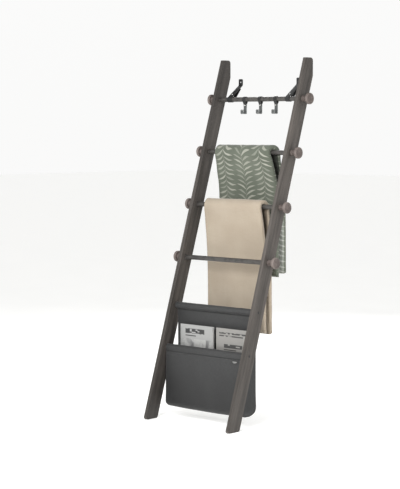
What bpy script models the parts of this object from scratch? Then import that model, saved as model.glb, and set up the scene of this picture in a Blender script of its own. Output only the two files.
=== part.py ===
"""A leaning ladder rack that carries a folded quilt, a folded throw and a hanging magazine bag.

Metres, +Z up, +X to the right of someone who faces the rack, +Y towards the wall that it leans on.
The origin is on the floor, at the middle of the rack's footprint from front foot to wall.
"""

import bmesh
import bpy
from mathutils import Matrix, Vector
from math import acos, asin, atan2, cos, pi, radians, sin, tan

# ---------------------------------------------------------------- driving dimensions (metres)
LADDER_HEIGHT = 1.650          # floor to the top of the rails
LEAN = radians(17.74)          # the rails lean back by this from upright
RAIL_PITCH = 0.506             # between the middles of the two rails
RAIL_THICKNESS = 0.0175
RAIL_DEPTH = 0.0727            # across a rail, square to its length
WALL_CUT_LENGTH = 0.082        # upright cut at the top of a rail, which lies on the wall
FOOT_RADIUS = 0.011
TOP_RADIUS = 0.014
TOP_FRONT_RADIUS = 0.004

TUBE_RADIUS = 0.011
TUBE_WALL = 0.0015
RUNG_COUNT = 4
TOP_RUNG_DROP = 0.187          # top rung's axis, below the top of the rails
LOWER_BAR_HEIGHT = 0.325       # the two lower tubes carry the bag
UPPER_BAR_RISE = 0.189         # above the lower bar
BOTTOM_RUNG_RISE = 0.217       # above the upper bar
SOCKET_DEPTH = 0.005           # a tube's end sits this deep in its rail
INSERT_LENGTH = 0.018          # threaded plug in each tube's end

STUD_RADIUS = 0.004
STUD_ENGAGEMENT = 0.014        # stud or bolt in its threaded plug
STUD_IN_KNOB = 0.020
KNOB_HEAD_RADIUS = 0.026
KNOB_HEAD_THICKNESS = 0.014
KNOB_NECK_RADIUS = 0.0145
KNOB_PROJECTION = 0.048
KNOB_DOME = 0.003
KNOB_EDGE_RADIUS = 0.004
BOLT_RADIUS = 0.003
BOLT_HEAD_RADIUS = 0.0052
BOLT_HEAD_THICKNESS = 0.0024

STRAP_THICKNESS = 0.002
SCREW_RADIUS = 0.002
SCREW_HEAD_RADIUS = 0.0038
SCREW_HEAD_THICKNESS = 0.0022
NUT_RADIUS = 0.0038
NUT_THICKNESS = 0.003
BRACKET_SPREAD = 0.178         # each bracket's distance from the middle
BRACKET_WIDTH = 0.026
TAB_TOP_RISE = 0.098           # above the top rung's axis
TAB_LENGTH = 0.030
TAB_HOLE_RADIUS = 0.0032
REAR_LEG_SHARE = 0.80          # length of the rear leg, as a share of the front one
BRACKET_SCREW_CLEAR = 0.013    # clamp screw's axis, beyond the tube's surface

HOOK_OFFSET = 0.008            # middle hook, from the rack's middle
HOOK_SPACING = 0.095
HOOK_COUNT = 3
BAND_WIDTH = 0.016
EAR_LENGTH = 0.009
EAR_END_DROP = 0.022           # these four are below the tube's underside
HOOK_SCREW_DROP = 0.0165
BLADE_TOP_DROP = 0.009
BLADE_END_DROP = 0.057
BLADE_WIDTH = 0.016
BLADE_THICKNESS = 0.003
BLADE_REACH = 0.025            # front of the lip, ahead of the stem's back
BLADE_LIP = 0.020
BLADE_BEND_RADIUS = 0.004

BAG_FABRIC = 0.003
SLEEVE_DROP = 0.0185           # seam under a sleeve, below its bar's axis
BAG_FLOOR_HEIGHT = 0.050
BAG_DEPTH = 0.090              # outside, front to back
BAG_FRONT_LEAD = 0.0186        # front of the bag, ahead of the lower bar's axis
BAG_FRONT_RADIUS = 0.025
BAG_BACK_RADIUS = 0.042
BAG_SIDE_DROP = 0.021          # top of a side piece, below the lower bar's axis
LABEL_WIDTH = 0.040
LABEL_HEIGHT = 0.014
LABEL_THICKNESS = 0.0008
LABEL_INSET = 0.052            # label's middle, in from the bag's edge
LABEL_DROP = 0.032             # label's middle, below the lower bar's axis

QUILT_THICKNESS = 0.019
QUILT_EDGES = (-0.180, 0.172)
QUILT_DROPS = (0.567, 0.551)   # front and back hems, below the rung's axis
QUILT_SPREAD = 0.009           # the back layer swings this much further than the front one
THROW_THICKNESS = 0.019
THROW_EDGES = (-0.179, 0.174)
THROW_DROPS = (0.575, 0.580)
THROW_SWING = (0.025, 0.021)   # how far the front and back layers swing towards the wall
SWING_DROP = 0.170             # drop over which a layer swings back, before it hangs plumb

MAGAZINE_THICKNESS = 0.007
MAGAZINE_SHOWS = 0.106         # its top, above the lower bar's axis
MAGAZINE_MIDDLE_GAP = 0.017
MAGAZINE_LEFT_GAP = 0.040
MAGAZINE_EDGE = 0.001

# ---------------------------------------------------------------- clearances
TOUCH_GAP = 0.0003             # between two pieces that touch
BORE_GAP = 0.0003              # round a stud, bolt or screw in its hole
SOCKET_GAP = 0.0003            # round a tube in its socket
SLEEVE_SLACK = 0.0005          # round a bar in the bag's sleeve
CLOTH_BORE_GAP = 0.001         # round a rung in the fold of a cloth
CLOTH_GAP = 0.029              # from the throw's back to the quilt's front
BAG_END_GAP = 0.00525          # from the bag's edge to a rail
MAGAZINE_SLEEVE_GAP = 0.0025   # behind a magazine, to the upper sleeve
MAGAZINE_SIDE_GAP = 0.003

TUBE_STEPS = 24
KNOB_STEPS = 20
SMALL_STEPS = 12
LOOP_STEPS = 14
CORNER_STEPS = 5

# ---------------------------------------------------------------- derived places
SLOPE = tan(LEAN)
RAIL_LEVEL_DEPTH = RAIL_DEPTH / cos(LEAN)
WALL_CUT_START = LADDER_HEIGHT - WALL_CUT_LENGTH
WALL_REACH = RAIL_LEVEL_DEPTH + WALL_CUT_START * SLOPE
FOOT_FRONT_REACH = FOOT_RADIUS * ((1.0 + sin(LEAN)) / cos(LEAN) - 1.0)
MIDDLE_Y = 0.5 * (FOOT_FRONT_REACH + WALL_REACH)
WALL_Y = WALL_REACH - MIDDLE_Y
RAIL_INNER_X = 0.5 * (RAIL_PITCH - RAIL_THICKNESS)
RAIL_OUTER_X = 0.5 * (RAIL_PITCH + RAIL_THICKNESS)
TUBE_HALF_LENGTH = RAIL_INNER_X + SOCKET_DEPTH - TOUCH_GAP
TUBE_BORE_RADIUS = TUBE_RADIUS - TUBE_WALL
BAR_HEIGHTS = (LOWER_BAR_HEIGHT + UPPER_BAR_RISE, LOWER_BAR_HEIGHT)
TOP_RUNG_HEIGHT = LADDER_HEIGHT - TOP_RUNG_DROP
RUNG_SPACING = (TOP_RUNG_HEIGHT - BAR_HEIGHTS[0] - BOTTOM_RUNG_RISE) / (RUNG_COUNT - 1)
RUNG_HEIGHTS = tuple(TOP_RUNG_HEIGHT - k * RUNG_SPACING for k in range(RUNG_COUNT))
SLEEVE_RADIUS = TUBE_RADIUS + SLEEVE_SLACK + BAG_FABRIC
BAG_HALF_WIDTH = RAIL_INNER_X - BAG_END_GAP
STRAP_LOOP_RADIUS = TUBE_RADIUS + TOUCH_GAP + 0.5 * STRAP_THICKNESS
SIDES = (("left", -1), ("right", 1))

MATERIALS = {
    "walnut": ((0.100, 0.082, 0.074), 0.62, 0.0),
    "knob_wood": ((0.170, 0.130, 0.118), 0.55, 0.0),
    "rung_steel": ((0.130, 0.125, 0.125), 0.38, 0.9),
    "black_steel": ((0.020, 0.021, 0.022), 0.42, 0.6),
    "hook_steel": ((0.230, 0.240, 0.240), 0.40, 0.8),
    "bright_steel": ((0.620, 0.620, 0.600), 0.28, 1.0),
    "bag_fabric": ((0.068, 0.070, 0.072), 0.78, 0.0),
    "label": ((0.360, 0.360, 0.350), 0.60, 0.0),
    "quilt_cloth": ((0.170, 0.205, 0.160), 0.90, 0.0),
    "throw_cloth": ((0.560, 0.480, 0.385), 0.92, 0.0),
    "paper": ((0.600, 0.600, 0.590), 0.50, 0.0),
}


def rail_y(height):
    """Middle of a rail's depth at a height; every rung and bar has its axis there."""
    return 0.5 * RAIL_LEVEL_DEPTH + height * SLOPE - MIDDLE_Y


# ---------------------------------------------------------------- scene set-up
for leftover in list(bpy.data.objects):
    bpy.data.objects.remove(leftover, do_unlink=True)


def new_collection(name):
    """Add a collection to the scene."""
    collection = bpy.data.collections.new(name)
    bpy.context.scene.collection.children.link(collection)
    return collection


RACK = new_collection("quilt_rack")
CUTTERS = new_collection("cutters")


def make_material(name, look):
    colour, roughness, metallic = look
    material = bpy.data.materials.new(name)
    material.use_nodes = True
    shader = material.node_tree.nodes["Principled BSDF"]
    shader.inputs["Base Color"].default_value = (*colour, 1.0)
    shader.inputs["Roughness"].default_value = roughness
    shader.inputs["Metallic"].default_value = metallic
    material.diffuse_color = (*colour, 1.0)
    return material


PAINT = {name: make_material(name, look) for name, look in MATERIALS.items()}


def finish(obj, material, collection=RACK):
    """Link an object, give it its material, or mark it as a cutter when it has none."""
    if obj.name not in collection.objects:
        collection.objects.link(obj)
    if material:
        obj.data.materials.clear()
        obj.data.materials.append(PAINT[material])
    else:
        obj.hide_render = True
        obj.display_type = "WIRE"
    return obj


# ---------------------------------------------------------------- modelling helpers
X_AXIS_TURN = (0.0, pi / 2, 0.0)           # a turned piece's local Z lies along +X
SIDE_VIEW_TURN = (pi / 2, 0.0, pi / 2)     # a plate's local X, Y, Z lie along +Y, +Z, +X


def turned(name, profile, steps, material, location=(0, 0, 0), rotation=(0, 0, 0)):
    """Turn a profile of (radius, height) points, listed from the top down its outer side."""
    closed = profile[0][0] > 0
    count = len(profile)
    edges = [(i, (i + 1) % count) for i in range(count if closed else count - 1)]
    mesh = bpy.data.meshes.new(name)
    mesh.from_pydata([(radius, 0.0, height) for radius, height in profile], edges, [])
    obj = bpy.data.objects.new(name, mesh)
    obj.location = location
    obj.rotation_euler = rotation
    screw = obj.modifiers.new("Turn", "SCREW")
    screw.angle = 2 * pi
    screw.steps = steps
    screw.render_steps = steps
    screw.use_merge_vertices = True
    screw.merge_threshold = 0.00002
    return finish(obj, material, RACK if material else CUTTERS)


def rounded(corners):
    """Turn (y, z, radius) corners into an outline, with an arc at each corner that has a radius."""
    outline = []
    count = len(corners)
    for i, (y, z, radius) in enumerate(corners):
        corner = Vector((y, z))
        if radius <= 0:
            outline.append(corner)
            continue
        before = (Vector(corners[i - 1][:2]) - corner).normalized()
        after = (Vector(corners[(i + 1) % count][:2]) - corner).normalized()
        half_angle = 0.5 * before.angle(after)
        centre = corner + (before + after).normalized() * (radius / sin(half_angle))
        start = corner + before * (radius / tan(half_angle)) - centre
        end = corner + after * (radius / tan(half_angle)) - centre
        sweep = start.angle_signed(end)
        for k in range(CORNER_STEPS + 1):
            turn = Matrix.Rotation(-sweep * k / CORNER_STEPS, 2)
            outline.append(centre + turn @ start)
    return outline


def arc(centre, radius, start, end, steps):
    """Points on an arc; angles are measured from +Y towards +Z."""
    angles = [start + (end - start) * k / steps for k in range(steps + 1)]
    return [Vector((centre[0] + radius * cos(a), centre[1] + radius * sin(a))) for a in angles]


def touch_angle(centre, radius, point, turn):
    """Angle on a circle where the straight line from a point outside just touches it."""
    reach = point - centre
    return atan2(reach.y, reach.x) + turn * acos(radius / reach.length)


def strip(path, thickness):
    """Outline of a bent strip whose middle line is an open path."""
    left, right = [], []
    last = len(path) - 1
    for i, point in enumerate(path):
        back = (point - path[max(i - 1, 0)]).normalized() if i else None
        ahead = (path[min(i + 1, last)] - point).normalized() if i < last else None
        along = ((back or ahead) + (ahead or back)).normalized()
        across = Vector((-along.y, along.x))
        stretch = 1.0 / max(across.dot(Vector((-(ahead or back).y, (ahead or back).x))), 0.5)
        left.append(point + across * (0.5 * thickness * stretch))
        right.append(point - across * (0.5 * thickness * stretch))
    return left + right[::-1]


def plate(name, outline, x_low, x_high, material, origin=(0.0, 0.0)):
    """A flat outline in the (y, z) plane, extruded from x_low to x_high, as a welded mesh."""
    curve = bpy.data.curves.new(name + "_outline", "CURVE")
    curve.dimensions = "2D"
    curve.fill_mode = "BOTH"
    curve.extrude = 0.5 * (x_high - x_low)
    spline = curve.splines.new("POLY")
    spline.points.add(len(outline) - 1)
    for slot, point in zip(spline.points, outline):
        slot.co = (point[0] - origin[0], point[1] - origin[1], 0.0, 1.0)
    spline.use_cyclic_u = True
    drawn = bpy.data.objects.new(name + "_drawn", curve)
    RACK.objects.link(drawn)
    evaluated = drawn.evaluated_get(bpy.context.evaluated_depsgraph_get())
    mesh = bpy.data.meshes.new_from_object(evaluated)
    weld(mesh)
    bpy.data.objects.remove(drawn, do_unlink=True)
    bpy.data.curves.remove(curve)
    mesh.name = name
    obj = bpy.data.objects.new(name, mesh)
    obj.location = (0.5 * (x_low + x_high), origin[0], origin[1])
    obj.rotation_euler = SIDE_VIEW_TURN
    return finish(obj, material, RACK if material else CUTTERS)


def block(name, place, dimensions, material):
    """A box of the given size, centred on its place."""
    bpy.ops.mesh.primitive_cube_add(size=1.0, location=place)
    obj = bpy.context.object
    obj.name = name
    obj.data.transform(Matrix.Diagonal((*dimensions, 1.0)))
    for collection in list(obj.users_collection):
        collection.objects.unlink(obj)
    return finish(obj, material)


def weld(mesh):
    """Join the loose caps of a filled curve to its sides, with its faces pointing out."""
    shape = bmesh.new()
    shape.from_mesh(mesh)
    bmesh.ops.remove_doubles(shape, verts=shape.verts, dist=0.00001)
    bmesh.ops.recalc_face_normals(shape, faces=shape.faces)
    shape.to_mesh(mesh)
    shape.free()


def cut(obj, cutter):
    boolean = obj.modifiers.new("Cut", "BOOLEAN")
    boolean.operation = "DIFFERENCE"
    boolean.solver = "EXACT"
    boolean.object = cutter


# ---------------------------------------------------------------- rails
def rail_outline():
    foot_rear = RAIL_LEVEL_DEPTH
    corners = [
        (0.0, 0.0, FOOT_RADIUS),
        (foot_rear, 0.0, FOOT_RADIUS),
        (WALL_REACH, WALL_CUT_START, 0.0),
        (WALL_REACH, LADDER_HEIGHT, TOP_RADIUS),
        (LADDER_HEIGHT * SLOPE, LADDER_HEIGHT, TOP_FRONT_RADIUS),
    ]
    return [point - Vector((MIDDLE_Y, 0.0)) for point in rounded(corners)]


def socket_cutter(name, side, height, hole_radius):
    """Stepped cutter: a bolt hole through the rail and a shallow socket on its inner face."""
    socket_radius = TUBE_RADIUS + SOCKET_GAP
    socket_floor = -(RAIL_INNER_X + SOCKET_DEPTH)
    inner_end = -(RAIL_INNER_X - SOCKET_DEPTH)
    outer_end = -(RAIL_OUTER_X + SOCKET_DEPTH)
    profile = [
        (0.0, inner_end),
        (socket_radius, inner_end),
        (socket_radius, socket_floor),
        (hole_radius, socket_floor),
        (hole_radius, outer_end),
        (0.0, outer_end),
    ]
    facing = X_AXIS_TURN if side < 0 else (0.0, -pi / 2, 0.0)
    return turned(name, profile, TUBE_STEPS, None, (0.0, rail_y(height), height), facing)


def make_rails():
    for word, side in SIDES:
        edges = sorted((side * RAIL_INNER_X, side * RAIL_OUTER_X))
        rail = plate(word + "_rail", rail_outline(), edges[0], edges[1], "walnut")
        for number, height in enumerate(RUNG_HEIGHTS + BAR_HEIGHTS, start=1):
            fastener = STUD_RADIUS if height in RUNG_HEIGHTS else BOLT_RADIUS
            name = f"{word}_socket_cutter_{number}"
            cut(rail, socket_cutter(name, side, height, fastener + BORE_GAP))


# ---------------------------------------------------------------- rungs, bars and their fasteners
def make_tube(name, height):
    """Plain rung tube; its threaded plugs are separate pieces."""
    half = TUBE_HALF_LENGTH
    profile = [
        (TUBE_RADIUS, half),
        (TUBE_RADIUS, -half),
        (TUBE_BORE_RADIUS, -half),
        (TUBE_BORE_RADIUS, half),
    ]
    turned(name, profile, TUBE_STEPS, "rung_steel", (0.0, rail_y(height), height), X_AXIS_TURN)


def make_bag_bar(name, height):
    """Tube whose threaded plugs are welded in, so that tube and plugs are one piece."""
    half = TUBE_HALF_LENGTH
    plug_end = half - INSERT_LENGTH
    thread = BOLT_RADIUS + BORE_GAP
    profile = [
        (TUBE_RADIUS, half),
        (TUBE_RADIUS, -half),
        (thread, -half),
        (thread, -plug_end),
        (TUBE_BORE_RADIUS, -plug_end),
        (TUBE_BORE_RADIUS, plug_end),
        (thread, plug_end),
        (thread, half),
    ]
    turned(name, profile, TUBE_STEPS, "rung_steel", (0.0, rail_y(height), height), X_AXIS_TURN)


def make_insert(word, side, number, height):
    """Threaded plug, flush with the end of a rung tube."""
    outer = TUBE_BORE_RADIUS - TOUCH_GAP
    bore = STUD_RADIUS + BORE_GAP
    half = 0.5 * INSERT_LENGTH
    profile = [(outer, half), (outer, -half), (bore, -half), (bore, half)]
    place = (side * (TUBE_HALF_LENGTH - half), rail_y(height), height)
    name = f"{word}_insert_{number}"
    turned(name, profile, SMALL_STEPS, "bright_steel", place, X_AXIS_TURN)


def outward(side):
    """Rotation that points a turned piece's local Z away from the rack's middle."""
    return (0.0, side * pi / 2, 0.0)


def make_knob(word, side, number, height):
    """Mushroom peg: a neck on the rail, a domed head and a blind hole for its stud."""
    head_back = KNOB_PROJECTION - KNOB_DOME - KNOB_HEAD_THICKNESS
    rim_top = KNOB_PROJECTION - KNOB_DOME
    edge = KNOB_EDGE_RADIUS
    flat_radius = KNOB_HEAD_RADIUS - edge
    front_edge = arc((flat_radius, rim_top - edge), edge, pi / 2, 0.0, 3)
    back_edge = arc((flat_radius, head_back + edge), edge, 0.0, -pi / 2, 2)
    profile = [(0.0, KNOB_PROJECTION), (0.55 * flat_radius, KNOB_PROJECTION - 0.3 * KNOB_DOME)]
    profile += [tuple(point) for point in front_edge + back_edge]
    profile += [
        (KNOB_NECK_RADIUS, head_back),
        (KNOB_NECK_RADIUS, TOUCH_GAP),
        (STUD_RADIUS + BORE_GAP, TOUCH_GAP),
        (STUD_RADIUS + BORE_GAP, STUD_IN_KNOB + TOUCH_GAP),
        (0.0, STUD_IN_KNOB + TOUCH_GAP),
    ]
    place = (side * RAIL_OUTER_X, rail_y(height), height)
    turned(f"{word}_knob_{number}", profile, KNOB_STEPS, "knob_wood", place, outward(side))


def make_stud(word, side, number, height):
    """Headless stud from a knob, through the rail, into the plug in the tube's end."""
    inner_end = TUBE_HALF_LENGTH - STUD_ENGAGEMENT - RAIL_OUTER_X
    profile = [
        (0.0, STUD_IN_KNOB),
        (STUD_RADIUS, STUD_IN_KNOB),
        (STUD_RADIUS, inner_end),
        (0.0, inner_end),
    ]
    place = (side * RAIL_OUTER_X, rail_y(height), height)
    name = f"{word}_stud_{number}"
    turned(name, profile, SMALL_STEPS, "bright_steel", place, outward(side))


def make_bolt(name, side, height):
    """Button-head bolt from the rail's outer face into the plug of a bag bar."""
    inner_end = TUBE_HALF_LENGTH - STUD_ENGAGEMENT - RAIL_OUTER_X
    head_top = TOUCH_GAP + BOLT_HEAD_THICKNESS
    profile = [
        (0.0, head_top),
        (0.7 * BOLT_HEAD_RADIUS, head_top - 0.15 * BOLT_HEAD_THICKNESS),
        (BOLT_HEAD_RADIUS, TOUCH_GAP + 0.3 * BOLT_HEAD_THICKNESS),
        (BOLT_HEAD_RADIUS, TOUCH_GAP),
        (BOLT_RADIUS, TOUCH_GAP),
        (BOLT_RADIUS, inner_end),
        (0.0, inner_end),
    ]
    place = (side * RAIL_OUTER_X, rail_y(height), height)
    turned(name, profile, SMALL_STEPS, "black_steel", place, outward(side))


def make_crosspieces():
    for number, height in enumerate(RUNG_HEIGHTS, start=1):
        make_tube(f"rung_{number}", height)
        for word, side in SIDES:
            make_insert(word, side, number, height)
            make_stud(word, side, number, height)
            make_knob(word, side, number, height)
    for level, height in zip(("upper", "lower"), BAR_HEIGHTS):
        make_bag_bar(f"bag_bar_{level}", height)
        for word, side in SIDES:
            make_bolt(f"{word}_bolt_{level}", side, height)


# ---------------------------------------------------------------- screws through bent straps
def make_screw(name, centre, direction, grip):
    """Pan-head screw with its nut, across a grip; direction points from the nut to the head."""
    half = 0.5 * grip + TOUCH_GAP
    head = half + SCREW_HEAD_THICKNESS
    tail = -(half + NUT_THICKNESS)
    profile = [
        (0.0, head),
        (0.8 * SCREW_HEAD_RADIUS, head - 0.1 * SCREW_HEAD_THICKNESS),
        (SCREW_HEAD_RADIUS, half + 0.4 * SCREW_HEAD_THICKNESS),
        (SCREW_HEAD_RADIUS, half),
        (SCREW_RADIUS, half),
        (SCREW_RADIUS, -half),
        (NUT_RADIUS, -half),
        (NUT_RADIUS, tail),
        (0.0, tail),
    ]
    screw = turned(name, profile, SMALL_STEPS, "bright_steel", centre)
    screw.rotation_euler = Vector(direction).to_track_quat("Z", "Y").to_euler()
    return screw


def hole_cutter(name, centre, direction, radius, length):
    half = 0.5 * length
    profile = [(0.0, half), (radius, half), (radius, -half), (0.0, -half)]
    cutter = turned(name, profile, SMALL_STEPS, None, centre)
    cutter.rotation_euler = Vector(direction).to_track_quat("Z", "Y").to_euler()
    return cutter


# ---------------------------------------------------------------- wall brackets on the top rung
def bracket_path():
    """Middle line of the strap in (y, z) from the rung's axis: tab, front leg, loop, rear leg."""
    centre = Vector((0.0, 0.0))
    tab_y = WALL_Y - rail_y(TOP_RUNG_HEIGHT) - 0.5 * STRAP_THICKNESS
    bend = Vector((tab_y, TAB_TOP_RISE - TAB_LENGTH))
    front_touch = touch_angle(centre, STRAP_LOOP_RADIUS, bend, 1)
    rear_touch = touch_angle(centre, STRAP_LOOP_RADIUS, bend, -1) + 2 * pi
    loop = arc(centre, STRAP_LOOP_RADIUS, front_touch, rear_touch, LOOP_STEPS)
    rear_end = loop[-1].lerp(bend, REAR_LEG_SHARE)
    return [Vector((tab_y, TAB_TOP_RISE)), bend, *loop, rear_end]


def make_bracket(word, side):
    axis = Vector((rail_y(TOP_RUNG_HEIGHT), TOP_RUNG_HEIGHT))
    path = bracket_path()
    middle_x = side * BRACKET_SPREAD
    outline = [point + axis for point in strip(path, STRAP_THICKNESS)]
    low, high = middle_x - 0.5 * BRACKET_WIDTH, middle_x + 0.5 * BRACKET_WIDTH
    name = word + "_bracket"
    strap = plate(name, outline, low, high, "black_steel", origin=axis)
    bend = path[1]
    along = bend.normalized()
    across = Vector((0.0, -along.y, along.x))
    reach = TUBE_RADIUS + BRACKET_SCREW_CLEAR
    centre = Vector((middle_x, axis.x, axis.y)) + Vector((0.0, *along)) * reach
    taper = asin(STRAP_LOOP_RADIUS / bend.length)
    legs = 2.0 * (bend.length - reach) * tan(taper) + STRAP_THICKNESS / cos(taper)
    grip = legs + 2.0 * SCREW_HEAD_RADIUS * tan(taper)
    cut(strap, hole_cutter(name + "_screw_cutter", centre, across, SCREW_RADIUS + BORE_GAP,
                           2.0 * grip))
    tab_hole = (middle_x, WALL_Y, axis.y + TAB_TOP_RISE - 0.5 * TAB_LENGTH)
    cut(strap, hole_cutter(name + "_tab_cutter", tab_hole, (0, 1, 0), TAB_HOLE_RADIUS,
                           4.0 * STRAP_THICKNESS))
    make_screw(name + "_screw", centre, across, grip)


# ---------------------------------------------------------------- hooks on the top rung
def ear_offset():
    """Middle of an ear, ahead of or behind the hook blade that it grips."""
    return 0.5 * (BLADE_THICKNESS + STRAP_THICKNESS) + TOUCH_GAP


def band_path():
    """Front ear, over the rung and down to the rear ear, in (y, z) from the rung's axis."""
    ear_y = ear_offset()
    ear_end = -(TUBE_RADIUS + EAR_END_DROP)
    front_ear = Vector((-ear_y, ear_end + EAR_LENGTH))
    centre = Vector((0.0, 0.0))
    front_touch = touch_angle(centre, STRAP_LOOP_RADIUS, front_ear, -1) + 2 * pi
    loop = arc(centre, STRAP_LOOP_RADIUS, front_touch, pi - front_touch, LOOP_STEPS)
    rear_ear = Vector((ear_y, front_ear.y))
    return [Vector((-ear_y, ear_end)), front_ear, *loop, rear_ear, Vector((ear_y, ear_end))]


def blade_outline():
    """A J of flat bar in (y, z) from the rung's axis: stem, foot running forward, upturned lip."""
    back = 0.5 * BLADE_THICKNESS
    front = back - BLADE_REACH
    top = -(TUBE_RADIUS + BLADE_TOP_DROP)
    end = -(TUBE_RADIUS + BLADE_END_DROP)
    floor = end + BLADE_THICKNESS
    outer_radius = BLADE_BEND_RADIUS + BLADE_THICKNESS
    corners = [
        (back, top, 0.0),
        (-back, top, 0.0),
        (-back, floor, BLADE_BEND_RADIUS),
        (front + BLADE_THICKNESS, floor, BLADE_BEND_RADIUS),
        (front + BLADE_THICKNESS, end + BLADE_LIP, 0.0),
        (front, end + BLADE_LIP, 0.0),
        (front, end, outer_radius),
        (back, end, outer_radius),
    ]
    return rounded(corners)


def make_hook(number, middle_x):
    axis = Vector((rail_y(TOP_RUNG_HEIGHT), TOP_RUNG_HEIGHT))
    half_band = 0.5 * BAND_WIDTH
    half_blade = 0.5 * BLADE_WIDTH
    band_shape = [point + axis for point in strip(band_path(), STRAP_THICKNESS)]
    band = plate(f"hook_band_{number}", band_shape, middle_x - half_band, middle_x + half_band,
                 "black_steel", origin=axis)
    blade_shape = [point + axis for point in blade_outline()]
    blade = plate(f"hook_blade_{number}", blade_shape, middle_x - half_blade,
                  middle_x + half_blade, "hook_steel", origin=axis)
    centre = (middle_x, axis.x, axis.y - TUBE_RADIUS - HOOK_SCREW_DROP)
    grip = 2.0 * ear_offset() + STRAP_THICKNESS
    hole = hole_cutter(f"hook_cutter_{number}", centre, (0, -1, 0), SCREW_RADIUS + BORE_GAP,
                       2.0 * grip)
    cut(band, hole)
    cut(blade, hole)
    make_screw(f"hook_screw_{number}", centre, (0, -1, 0), grip)


# ---------------------------------------------------------------- hanging magazine bag
def bag_front_y():
    return rail_y(BAR_HEIGHTS[1]) - BAG_FRONT_LEAD


def bag_back_y():
    return bag_front_y() + BAG_DEPTH


def bag_floor_line(inset):
    """The bag's rounded floor, front to back, a little inside its outer surface."""
    floor = BAG_FLOOR_HEIGHT
    front_centre = (bag_front_y() + BAG_FRONT_RADIUS, floor + BAG_FRONT_RADIUS)
    back_centre = (bag_back_y() - BAG_BACK_RADIUS, floor + BAG_BACK_RADIUS)
    front = arc(front_centre, BAG_FRONT_RADIUS - inset, pi, 1.5 * pi, CORNER_STEPS)
    return front + arc(back_centre, BAG_BACK_RADIUS - inset, -0.5 * pi, 0.0, CORNER_STEPS)


def bag_path():
    """Middle line of the main panel: lower sleeve, front, floor, back, upper sleeve."""
    half = 0.5 * BAG_FABRIC
    sleeve = SLEEVE_RADIUS - half
    low_bar = Vector((rail_y(BAR_HEIGHTS[1]), BAR_HEIGHTS[1]))
    high_bar = Vector((rail_y(BAR_HEIGHTS[0]), BAR_HEIGHTS[0]))
    front, back = bag_front_y() + half, bag_back_y() - half
    low_seam = Vector((front, low_bar.y - SLEEVE_DROP))
    high_seam = Vector((back, high_bar.y - SLEEVE_DROP))
    tuck = Vector((1.5 * BAG_FABRIC, 0.0))
    low_start = touch_angle(low_bar, sleeve, low_seam + tuck, 1)
    low_end = touch_angle(low_bar, sleeve, low_seam, -1) + 2 * pi
    high_start = touch_angle(high_bar, sleeve, high_seam, 1)
    high_end = touch_angle(high_bar, sleeve, high_seam - tuck, -1) + 2 * pi
    low_loop = arc(low_bar, sleeve, low_start, low_end, LOOP_STEPS)
    high_loop = arc(high_bar, sleeve, high_start, high_end, LOOP_STEPS)
    lower = [low_seam + tuck, *low_loop, low_seam]
    upper = [high_seam, *high_loop, high_seam - tuck]
    return lower + bag_floor_line(half) + upper


def make_bag():
    bag = strip(bag_path(), BAG_FABRIC)
    plate("bag_panel", bag, -BAG_HALF_WIDTH, BAG_HALF_WIDTH, "bag_fabric")
    side_top = BAR_HEIGHTS[1] - BAG_SIDE_DROP
    side_outline = bag_floor_line(BAG_FABRIC + TOUCH_GAP)
    side_outline.append(Vector((side_outline[-1].x, side_top)))
    side_outline.append(Vector((side_outline[0].x, side_top)))
    for word, side in SIDES:
        edges = sorted((side * BAG_HALF_WIDTH, side * (BAG_HALF_WIDTH - BAG_FABRIC)))
        plate(f"bag_side_{word}", side_outline, edges[0], edges[1], "bag_fabric")
    label_place = (
        BAG_HALF_WIDTH - LABEL_INSET,
        bag_front_y() - TOUCH_GAP - 0.5 * LABEL_THICKNESS,
        BAR_HEIGHTS[1] - LABEL_DROP,
    )
    block("bag_label", label_place, (LABEL_WIDTH, LABEL_THICKNESS, LABEL_HEIGHT), "label")


# ---------------------------------------------------------------- folded cloths
def cloth_outline(height, thickness, drops, swing):
    """An inverted U over a rung whose two layers swing towards the wall and then hang plumb."""
    middle_radius = cloth_outer_radius(thickness) - 0.5 * thickness
    axis = Vector((rail_y(height), height))

    def layer(side, drop, shift):
        points = []
        for k in range(1, CORNER_STEPS + 1):
            share = k / CORNER_STEPS
            ease = share * share * (3.0 - 2.0 * share)
            reach = side * middle_radius + shift * ease
            points.append(axis + Vector((reach, -SWING_DROP * share)))
        return points + [Vector((points[-1].x, height - drop))]

    front = layer(-1, drops[0], swing[0])
    back = layer(1, drops[1], swing[1])
    over = arc(axis, middle_radius, pi, 0.0, LOOP_STEPS)
    return strip(front[::-1] + over + back, thickness)


def cloth_outer_radius(thickness):
    """Outside of a cloth's fold, from the axis of its rung."""
    return TUBE_RADIUS + CLOTH_BORE_GAP + thickness


def quilt_swing():
    """The quilt's front layer swings back until it clears the throw's back layer."""
    throw_back = rail_y(RUNG_HEIGHTS[2]) + cloth_outer_radius(THROW_THICKNESS) + THROW_SWING[1]
    quilt_front = rail_y(RUNG_HEIGHTS[1]) - cloth_outer_radius(QUILT_THICKNESS)
    front_swing = throw_back + CLOTH_GAP - quilt_front
    return front_swing, front_swing + QUILT_SPREAD


def make_cloths():
    quilt = cloth_outline(RUNG_HEIGHTS[1], QUILT_THICKNESS, QUILT_DROPS, quilt_swing())
    plate("quilt", quilt, *QUILT_EDGES, "quilt_cloth")
    throw = cloth_outline(RUNG_HEIGHTS[2], THROW_THICKNESS, THROW_DROPS, THROW_SWING)
    plate("throw_blanket", throw, *THROW_EDGES, "throw_cloth")


# ---------------------------------------------------------------- magazines in the bag
def magazine_floor(rear_y):
    """Height at which a magazine's rear edge meets the rounded floor of the bag."""
    inner_radius = BAG_BACK_RADIUS - BAG_FABRIC
    past_flat = max(rear_y - (bag_back_y() - BAG_BACK_RADIUS), 0.0)
    arc_height = inner_radius - (inner_radius ** 2 - past_flat ** 2) ** 0.5
    return BAG_FLOOR_HEIGHT + BAG_FABRIC + arc_height + TOUCH_GAP


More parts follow.
